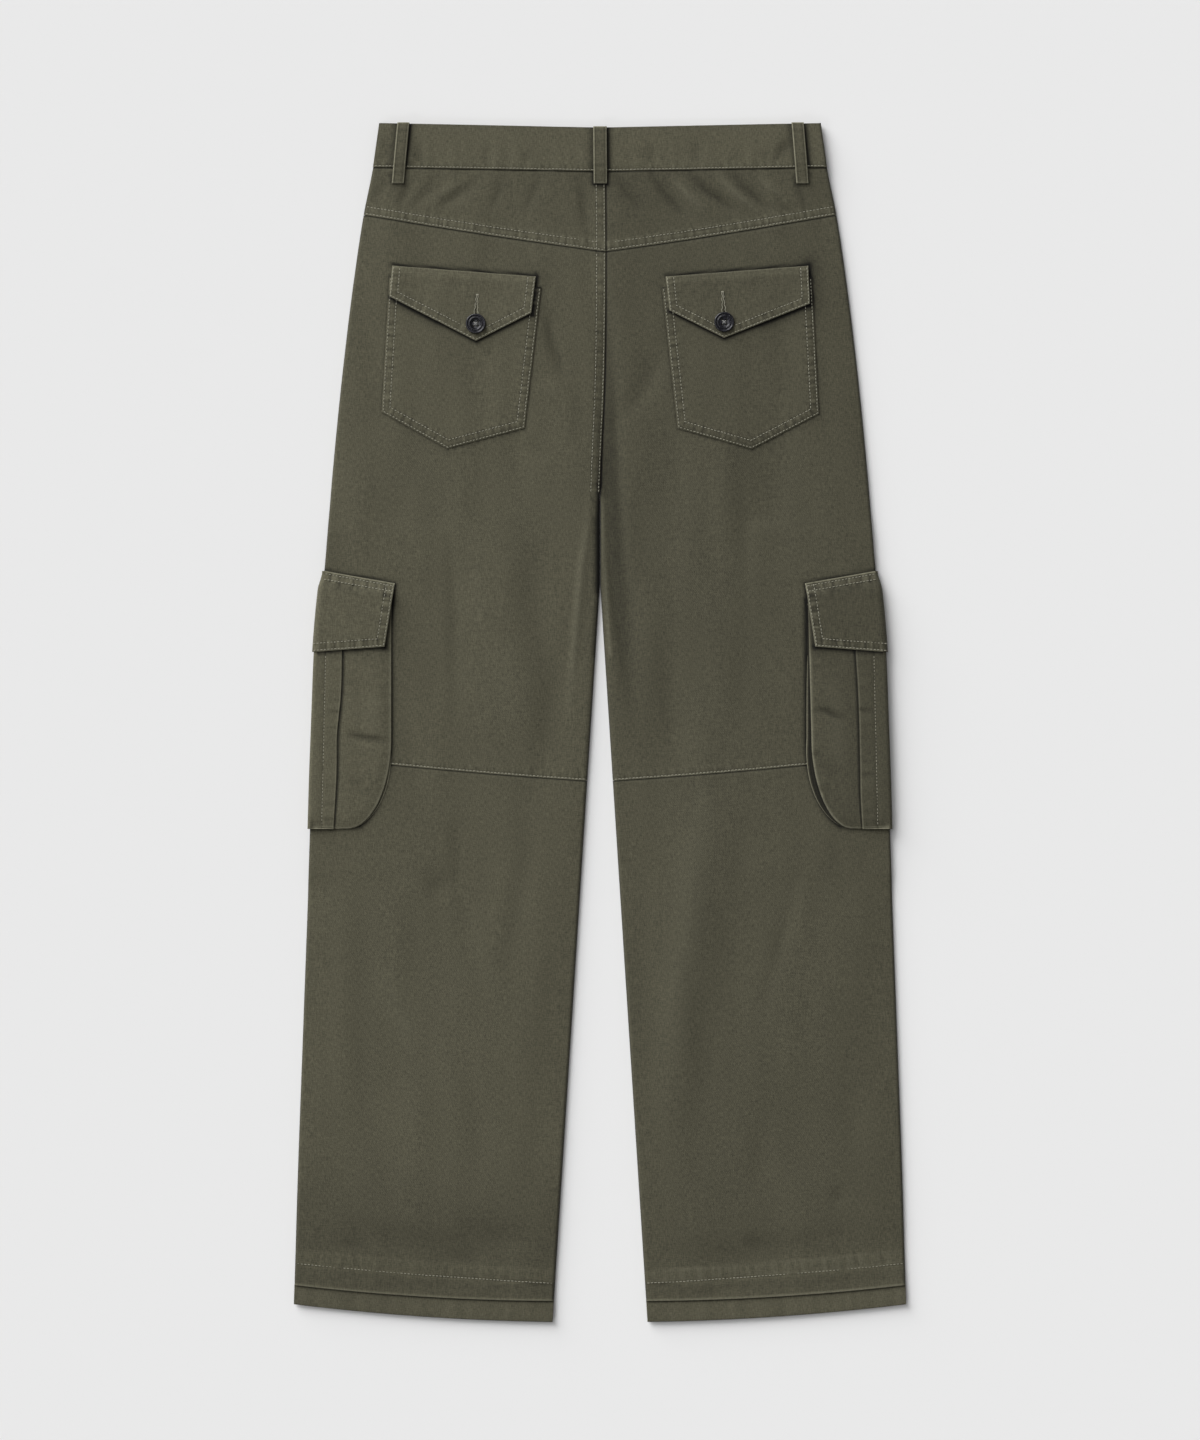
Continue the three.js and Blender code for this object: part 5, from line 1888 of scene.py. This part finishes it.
    def build_gusset(self) -> None:
        """Makes the strip that joins the pouch to the leg."""
        turn = np.linspace(0, np.pi / 2, 40)
        width = 9.0
        push = self.gusset_out + (self.gusset_corner - self.gusset_out) * np.sin(2 * turn)
        lines = []
        for inset in stations(width, (0.0, 0.12, 0.4, 0.8, 1.3), (0.0, 0.5), 1.6):
            out, y = self.corner(turn, push - inset, np.minimum(push - inset, 0))
            start = self.foot + self.corner_height
            down = np.linspace(104, start, 50)[:-1]
            end = float(DRAPE.outline.side(self.foot)) - 8
            tail = np.linspace(0, 1, 8)[1:]
            lines.append(np.column_stack([
                np.concatenate([np.full(len(down), out[0]), out, mix(out[-1], end, tail)]),
                np.concatenate([down, y, mix(y[-1], y[-1] + 1, tail)]),
                np.full(len(down) + len(out) + len(tail), inset),
            ]))
        grid = np.stack(lines)
        inset = grid[..., 2]
        low = self.top_face + GAP - 0.25 + np.zeros_like(inset)
        high = low + 0.5 - 0.3 * (1 - arc_share(inset, 0.9))
        inside, outside = (grid_of(self.side.value * grid[..., 0], grid[..., 1], z) for z in (low, high))
        # A light edge and then painted shade over the strip, which lies under the pouch's edge; lower down, a light
        # line along it
        wear_and_shade = 0.6 * bell(inset, 0.8) - 0.95 * smooth(0.8, 1.7, inset)
        wear_and_shade = wear_and_shade + 0.5 * bell(inset - 3.6, 0.6) * smooth(20, -60, grid[..., 1])
        lay_cloth(
            f"cargo_gusset_{self.side.label}", inside, outside, wear_and_shade, POUCH_TWILL[self.side],
        )

    def build(self, stitches: StitchBox) -> None:
        """Makes the whole pocket and sews it.

        Args:
            stitches: where the rows of stitches go.
        """
        self.build_gusset()
        self.build_pouch()
        self.build_flap()
        sign = self.side.value
        corners = self.flap_edge() * [sign, 1]
        middle = tuple(corners.mean(0))
        for row in self.top_lap.rows:
            stitches.row(EdgeLine(corners[:2]).inset(row, middle), self.flap_face)
        for row in self.flap_lap.rows:
            stitches.row(EdgeLine(corners[1:]).inset(row, middle), self.flap_face)
        y = np.linspace(60, self.foot + 2, 24)
        seam = plotted(sign * through(self.pleat_stitch, y), y)
        stitches.row(seam, self.pouch_face, sunk=0.22)


@dataclass(frozen=True)
class Waist:
    """The waistbands, their belt loops, the fly placket and the waist button."""

    back_floor: float = 5.3
    front_floor: float = 2.6
    thickness: float = 2.4
    tab_end: float = 14.0
    step: float = 2.2
    loop_thickness: float = 1.4
    loop_foot: float = 472.8
    lap: Lap = Lap(rows=(1.2,), band=5.0, swell=0.0, sink=0.35, pucker=0.26, rim=1.1, rub=0.5,
                   contrast=0.3, seed=61)
    # A negative edge value paints a dark outline along the band's top and ends, as painted shade
    top_fold: Lap = Lap(rows=(), band=3.0, swell=0.0, pucker=0.1, rim=1.6, rub=-0.45, contrast=0.1, seed=62)
    end_fold: Lap = Lap(rows=(), band=3.0, swell=0.0, pucker=0.0, rim=2.0, rub=-0.4, contrast=0, seed=63)
    loops: tuple[tuple[str, float, float, float], ...] = (
        ("left", -172.5, -177.4, 10.6), ("centre", 0, 0.4, 11.8), ("right", 173.4, 177.8, 10.7),
    )
    band_creases: tuple[Crease, ...] = creases(
        (5, -1.2, 167, 512, 159, 500, 151, 487),
        (4.0, -0.6, 148, 504, 141, 488),
        (5.0, -0.5, 122, 503, 116, 488),
        (6.0, -0.6, 86, 510, 82, 489),
        (6.0, -0.7, 38, 506, 46, 489),
        (4.0, -0.6, -60, 503, -66, 487),
        (5.0, -0.5, -96, 506, -104, 487),
        (5.0, -0.7, -161, 506, -156, 488),
        (4.0, -0.5, -186, 512, -188, 490),
    )

    @staticmethod
    def foot_shade(name: str, top: float, foot: float, width: float) -> Shade:
        """Painted shadow that a loop's foot casts on the yoke."""
        left, right, low = foot - width / 2 - 0.3, foot + width / 2 + 0.5, Waist.loop_foot - 0.6
        outline = np.array([(left, 482), (left, low), (right, low), (right, 482)])
        return Shade(EdgeLine(outline), 2.0, 0.9 if name == "centre" else 0.45)

    def band(self, name: str, start: float, end: float, floor: float, faces_down: bool) -> Cloth:
        """One waistband.

        Args:
            name: the node's name.
            start: place across of its left end.
            end: place across of its right end.
            floor: height of its underside.
            faces_down: whether its outer face is underneath.

        Returns:
            The band.
        """
        outline = DRAPE.outline
        half = outline.side_table[0][1]
        spread = outline.side_table[1][1] / half
        across = even_ends(end - start, (0.0, 0.15, 0.5, 1.0, 2.0), self.step) + start
        depth = 39.8
        down = stations(depth, (0.0, 0.1, 0.35, 0.8, 1.6, 3.0), self.lap.offsets, self.step) / depth
        share = np.minimum(np.abs(across) / half, 1)[None]
        top = outline.band_top.at(share)
        foot = outline.waist.at(share) + GAP / 2
        x = across[None] * mix(1, spread, down[:, None])
        y = mix(top, foot, down[:, None])
        top_line, foot_line = (plotted(x[k, ::6], y[k, ::6]) for k in (0, -1))
        ends = [plotted(x[::4, k], y[::4, k]) for k in (0, -1)]
        edges = [Edge(top_line, self.top_fold), Edge(foot_line, self.lap)]
        edges += [Edge(end_line, self.end_fold) for end_line in ends]

        def face(px: Array, py: Array) -> Array:
            if faces_down:
                return np.full(px.shape, floor + self.thickness)
            wave = 0.4 * ripple(px, 64, (13.0, 19.0, 31.0)) * (1 - smooth(492, 522, py))
            slow = 0.3 * np.sin(px / 41.0 + py / 30.0)
            return floor + self.thickness + wave + slow + sum(c.relief(px, py) for c in self.band_creases)

        def underside(px: Array, py: Array) -> Array:
            return np.full(px.shape, floor)

        if faces_down:
            return Cloth(name, x, y, face, edges, underside)
        # Painted shadows beside each loop on the back band, and painted shade and highlight of its creases
        shades = [
            Shade(traced((top + flank * reach, 524), (foot + flank * reach, 484)), width, strength)
            for _, top, foot, span in self.loops
            for flank, reach, width, strength in (
                (-1, span / 2 + 0.6, 3.4, 0.5), (1, span / 2 + 0.6, 2.4, 0.95),
            )
        ]
        return Cloth(name, x, y, face, edges, underside, shades=shades,
                     tone=lambda px, py: sum(1.5 * c.wear_and_shade(px, py) for c in self.band_creases))

    def loop(self, name: str, top: float, foot: float, width: float, levels: tuple[Point, ...]) -> None:
        """One belt loop: a strip over the band, sewn down at both ends.

        Args:
            name: the node's name.
            top: place across of its top.
            foot: place across of its foot.
            width: its width.
            levels: height of its underside at places along it.
        """
        high, low = levels[0][0], levels[-1][0]
        down = even_ends(high - low, (0.0, 0.15, 0.5, 1.2), 1.5)
        across = even_ends(width, (0.0, 0.1, 0.35, 0.7, 1.1, 1.6), 1.2) - width / 2
        y = (high - down)[:, None] + np.zeros((1, len(across)))
        middle = mix(top, foot, down / (high - low))[:, None]
        x = middle + across[None]
        under = np.maximum(through(levels, y), 0)
        edge = np.minimum(width / 2 - np.abs(across), 9)[None] + np.zeros_like(y)
        ends = np.minimum(high - y, y - low)
        rim = 0.8 * (1 - arc_share(edge, 0.9)) + 0.8 * (1 - arc_share(ends, 0.9))
        crown = 0.12 * np.cos(np.pi * across / width)[None] - 0.12 * bell(edge - 1.9, 0.5)
        face = under + self.loop_thickness - rim + crown
        inside, outside = (grid_of(x, y, z) for z in (under, np.maximum(face, under + 0.12)))
        # Abraded edges and ends, painted shade along the grooves inside the edges, and a random tone
        wear_and_shade = 0.9 * np.clip(bell(edge - 0.35, 0.65) + bell(ends, 0.8), 0, 1)
        wear_and_shade = wear_and_shade - 0.5 * bell(edge - 1.9, 0.6) + 0.15 * ripple(y, 66, (4.3, 7.1, 11.0))
        lay_cloth(name, inside, outside, wear_and_shade, TWILL)

    def build(self, stitches: StitchBox) -> None:
        """Makes the bands, loops, placket and waist button.

        Args:
            stitches: where the rows of stitches go.
        """
        outline = DRAPE.outline
        half = outline.side_table[0][1]
        back = self.band("waistband_back", -half, half, self.back_floor, False)
        back.build(TWILL_BAND, Slot.TWILL, ["waistband_front_left_cloth", "waistband_front_right_cloth"])
        foot_line = back.edges[1].line
        stitches.row(foot_line.inset(self.lap.rows[0], (0, 600)), back.height)
        for name, start, end in (("left", -half, self.tab_end), ("right", self.tab_end + GAP, half)):
            band = self.band(f"waistband_front_{name}", start, end, self.front_floor, True)
            band.build(TWILL_BAND, Slot.TWILL, [])
        band_top = self.back_floor + self.thickness + GAP
        yoke_top = CLOTH + GAP + DRAPE.waist_lift + DRAPE.yoke_extra + CLOTH + GAP
        for name, top, foot, width in self.loops:
            share = abs(top) / half
            high, seam = outline.band_top.at(share) + 0.6, outline.waist.at(share)
            arch = band_top + 0.8
            self.loop(f"belt_loop_back_{name}", top, foot, width, (
                (high, band_top), (high - 5, band_top + 0.6), (mix(high, seam, 0.45), arch),
                (seam + 6, arch - 0.1), (seam - 1.5, band_top), (seam - 6, yoke_top + 0.2), (self.loop_foot, yoke_top),
            ))
        under_band = self.front_floor - GAP - self.loop_thickness
        for name, place in (("left", -98), ("right", 98)):
            share = abs(place) / half
            high, seam = outline.band_top.at(share) - 0.3, outline.waist.at(share)
            self.loop(f"belt_loop_front_{name}", place, place, 10.6, (
                (high, under_band), (high - 6, 0.0), (seam + 4, 0.0), (seam - 3, under_band),
                (self.loop_foot, under_band),
            ))
        self.placket()
        Button("waist_button").build()

    def placket(self) -> None:
        """Makes the fly placket under the front."""
        width, top, straight, foot = 38.0, 482.0, 346.0, 308.0
        y = np.concatenate([np.linspace(top, straight, 40), straight - (straight - foot) * np.sin(
            np.linspace(0, np.pi / 2, 24)[1:])])
        turn = np.clip((straight - y) / (straight - foot), 0, 1)
        edge = -0.5 - np.maximum((width - 0.5) * np.sqrt(1 - turn**2), 0.4)
        share = even_ends(width, (0.0, 0.15, 0.5, 1.0), 3.0) / width
        x = mix(-0.5, edge[:, None], share[None])
        outside, inside = (grid_of(x, y[:, None], z) for z in (0.0, CLOTH))
        lay_cloth("fly_placket", inside, outside, None, TWILL)


@dataclass(frozen=True)
class Studio:
    """A plain pale floor, soft light from the upper left, and a camera straight above."""

    lens: float = 85.0
    sensor: float = 36.0
    frame_height: float = 1267.2
    centre_y: float = 1.8
    floor_shade: float = 0.815
    sky: float = 0.2
    suns: tuple[tuple[str, float, float, float, float], ...] = (
        ("key", 0.5, 0.41, 0.8, 129.0),
        ("fill", 0.26, 1.05, 0.9, 135.0),
        ("glint", 0.04, 0.6, 0.2, 225.0),
    )

    def build(self) -> None:
        """Makes the camera, floor, sky and key light."""
        scene = bpy.context.scene
        camera = bpy.data.objects.new("camera", bpy.data.cameras.new("camera"))
        camera.data.lens, camera.data.sensor_width = self.lens, self.sensor
        camera.data.clip_end = 200
        camera.location = (0, self.centre_y * MM, self.frame_height * MM * self.lens / self.sensor)
        scene.collection.objects.link(camera)
        scene.camera = camera
        scene.view_settings.view_transform = "Standard"
        self.floor()
        world = bpy.data.worlds.new("sky")
        world.use_nodes = True
        world.node_tree.nodes["Background"].inputs[0].default_value = (1, 1, 1, 1)
        world.node_tree.nodes["Background"].inputs[1].default_value = self.sky
        scene.world = world
        for sun in self.suns:
            self.sun(*sun)

    def sun(self, name: str, share: float, elevation: float, spread: float, bearing: float) -> None:
        """Makes a soft light.

        Args:
            name: the light's name.
            share: its share of the light that reaches the floor.
            elevation: its height over the horizon, in radians.
            spread: its width as seen from the floor, in radians.
            bearing: where it comes from, in degrees from +X towards +Y.
        """
        light = bpy.data.lights.new(name, "SUN")
        light.angle = spread
        light.energy = share * np.pi / np.sin(elevation)
        lamp = bpy.data.objects.new(name, light)
        lamp.rotation_euler = (np.pi / 2 - elevation, 0, np.radians(bearing + 90))
        bpy.context.scene.collection.objects.link(lamp)

    def floor(self) -> None:
        """Makes the floor, a little under the surface that the garment lies on."""
        reach = 60000.0
        corners = np.array([(-reach, -reach), (reach, -reach), (reach, reach), (-reach, reach)])
        floor = write_mesh("floor", np.column_stack([corners, np.full(4, -0.15)]), [(0, 1, 2, 3)])
        shade = (*[self.floor_shade] * 3, 1)
        matt = Graph("floor").surface({"Base Color": shade, "Roughness": 1.0, "Specular IOR Level": 0.0})
        floor.data.materials.append(matt)


# Along these the hidden fronts stand off the surface
FRONT_CREASES = {
    Side.LEFT: creases(
        (14, 1.3, -40, 196, -60, 120, -84, 30),
        (10, 0.9, -30, 232, -70, 214, -120, 206),
        (9, 0.8, -36, 262, -84, 252, -140, 262),
        (7, 0.6, -190, 330, -176, 290, -170, 250),
        (10, 0.7, -44, 20, -66, -30, -78, -90),
        (13, 1.0, -96, -150, -88, -250, -96, -340, -104, -420),
        (9, 0.7, -208, -170, -202, -240, -206, -330),
        (10, 0.8, -52, -190, -64, -270, -80, -330),
        (8, 0.6, -172, -356, -152, -396, -128, -430),
    ),
    Side.RIGHT: creases(
        (13, 1.2, 34, 190, 58, 110, 70, 20, 74, -50),
        (11, 0.9, 28, 224, 76, 210, 132, 214),
        (9, 0.7, 44, 270, 96, 256, 150, 252),
        (8, 0.6, 186, 340, 170, 300, 166, 262),
        (12, 1.0, 130, -160, 118, -240, 126, -330),
        (9, 0.8, 60, -150, 66, -230, 60, -310, 66, -400),
        (8, 0.6, 214, -200, 206, -280, 210, -350),
        (9, 0.7, 178, -300, 160, -352, 134, -390),
    ),
}

BACK_POCKETS = (
    BackPocket(
        Side.LEFT, ((-184.8, 391.4), (-51.4, 381.6)), ((-191.8, 272.2), (-134, 239.8), (-66.1, 258)),
        ((-182.3, 400.7), (-56.2, 391.2)), ((-184.7, 373.3), (-108.9, 334.4), (-60.2, 358.8)),
        (-109, 349.4), 374.5,
        flap_creases=creases(
            (5, -0.5, -176, 384, -168, 372, -150, 362),
            (6, -0.35, -130, 392, -126, 376),
            (7, -0.4, -84, 388, -90, 366),
        ),
    ),
    BackPocket(
        Side.RIGHT, ((54.4, 381.6), (186.1, 390.6)), ((68.2, 257.7), (133.3, 239.5), (192.5, 270.4)),
        ((57.6, 391.2), (182.9, 400.7)), ((61.1, 360.9), (108.9, 337), (184.3, 367)), (108.9, 350.8), 377.0,
        flap_creases=creases(
            (6, -0.35, 96, 392, 98, 372),
            (7, -0.4, 140, 394, 136, 374),
        ),
    ),
)

CARGO_POCKETS = (
    CargoPocket(
        Side.LEFT, gusset_out=-1.2, gusset_corner=2.6,
        pleat=((120, 226.2), (62.5, 226.2), (20.9, 227.2), (-13.9, 230.6), (-40, 230.8), (-93, 233.6)),
        pleat_stitch=((120, 239.4), (61, 240.6), (-90.5, 244.1)),
        creases=creases(
            (2.6, -1.5, -222, -11, -212, -13, -186, -17),
            (6, -0.4, -226, 40, -210, 30, -188, 26),
            (6, -0.5, -222, -52, -206, -60, -194, -60),
            (9, 0.5, -208, 55, -200, 20, -203, -30),
        ),
    ),
    CargoPocket(
        Side.RIGHT, gusset_out=1.6, gusset_corner=4.2, gape=2.6, gape_corner=0.9,
        pleat=((120, 223.4), (62.3, 224.1), (22.6, 226.6), (-40, 228.4), (-66, 228.8), (-95.7, 230.6)),
        pleat_stitch=((120, 238.6), (61, 240.2), (-91, 243.7)),
        creases=creases(
            (2.6, -1.5, 187, 10, 196, 11, 206, 6, 216, 2),
            (6, -0.8, 188, -27, 200, -40, 216, -52),
            (2.4, -0.9, 189, -58, 196, -61),
            (2.2, -0.8, 187, -27, 193, -29),
            (2.6, -0.6, 202, -46, 199, -70, 203, -84),
            (8, 0.5, 200, 50, 206, 20, 210, -60),
        ),
    ),
)


def main() -> None:
    """Builds the garment's sub-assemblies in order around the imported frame."""
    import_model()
    Studio().build()
    seams = StitchBox("stitches_seams")
    for side, back_pocket, cargo_pocket in zip(Side, BACK_POCKETS, CARGO_POCKETS):
        FrontPanel(side, creases=FRONT_CREASES[side]).build(seams)
        BackLeg(side, shades=back_pocket.shades() + cargo_pocket.shades()).build(seams)
    Waist().build(seams)
    seams.build()
    pocket_rows = StitchBox("stitches_pockets", pitch=3.0, length=2.3)
    for pocket in BACK_POCKETS:
        pocket.build(pocket_rows)
    for pocket in CARGO_POCKETS:
        pocket.build(pocket_rows)
    pocket_rows.build()


if __name__ == "__main__":
    logging.basicConfig(level=logging.INFO, format="%(message)s")
    main()
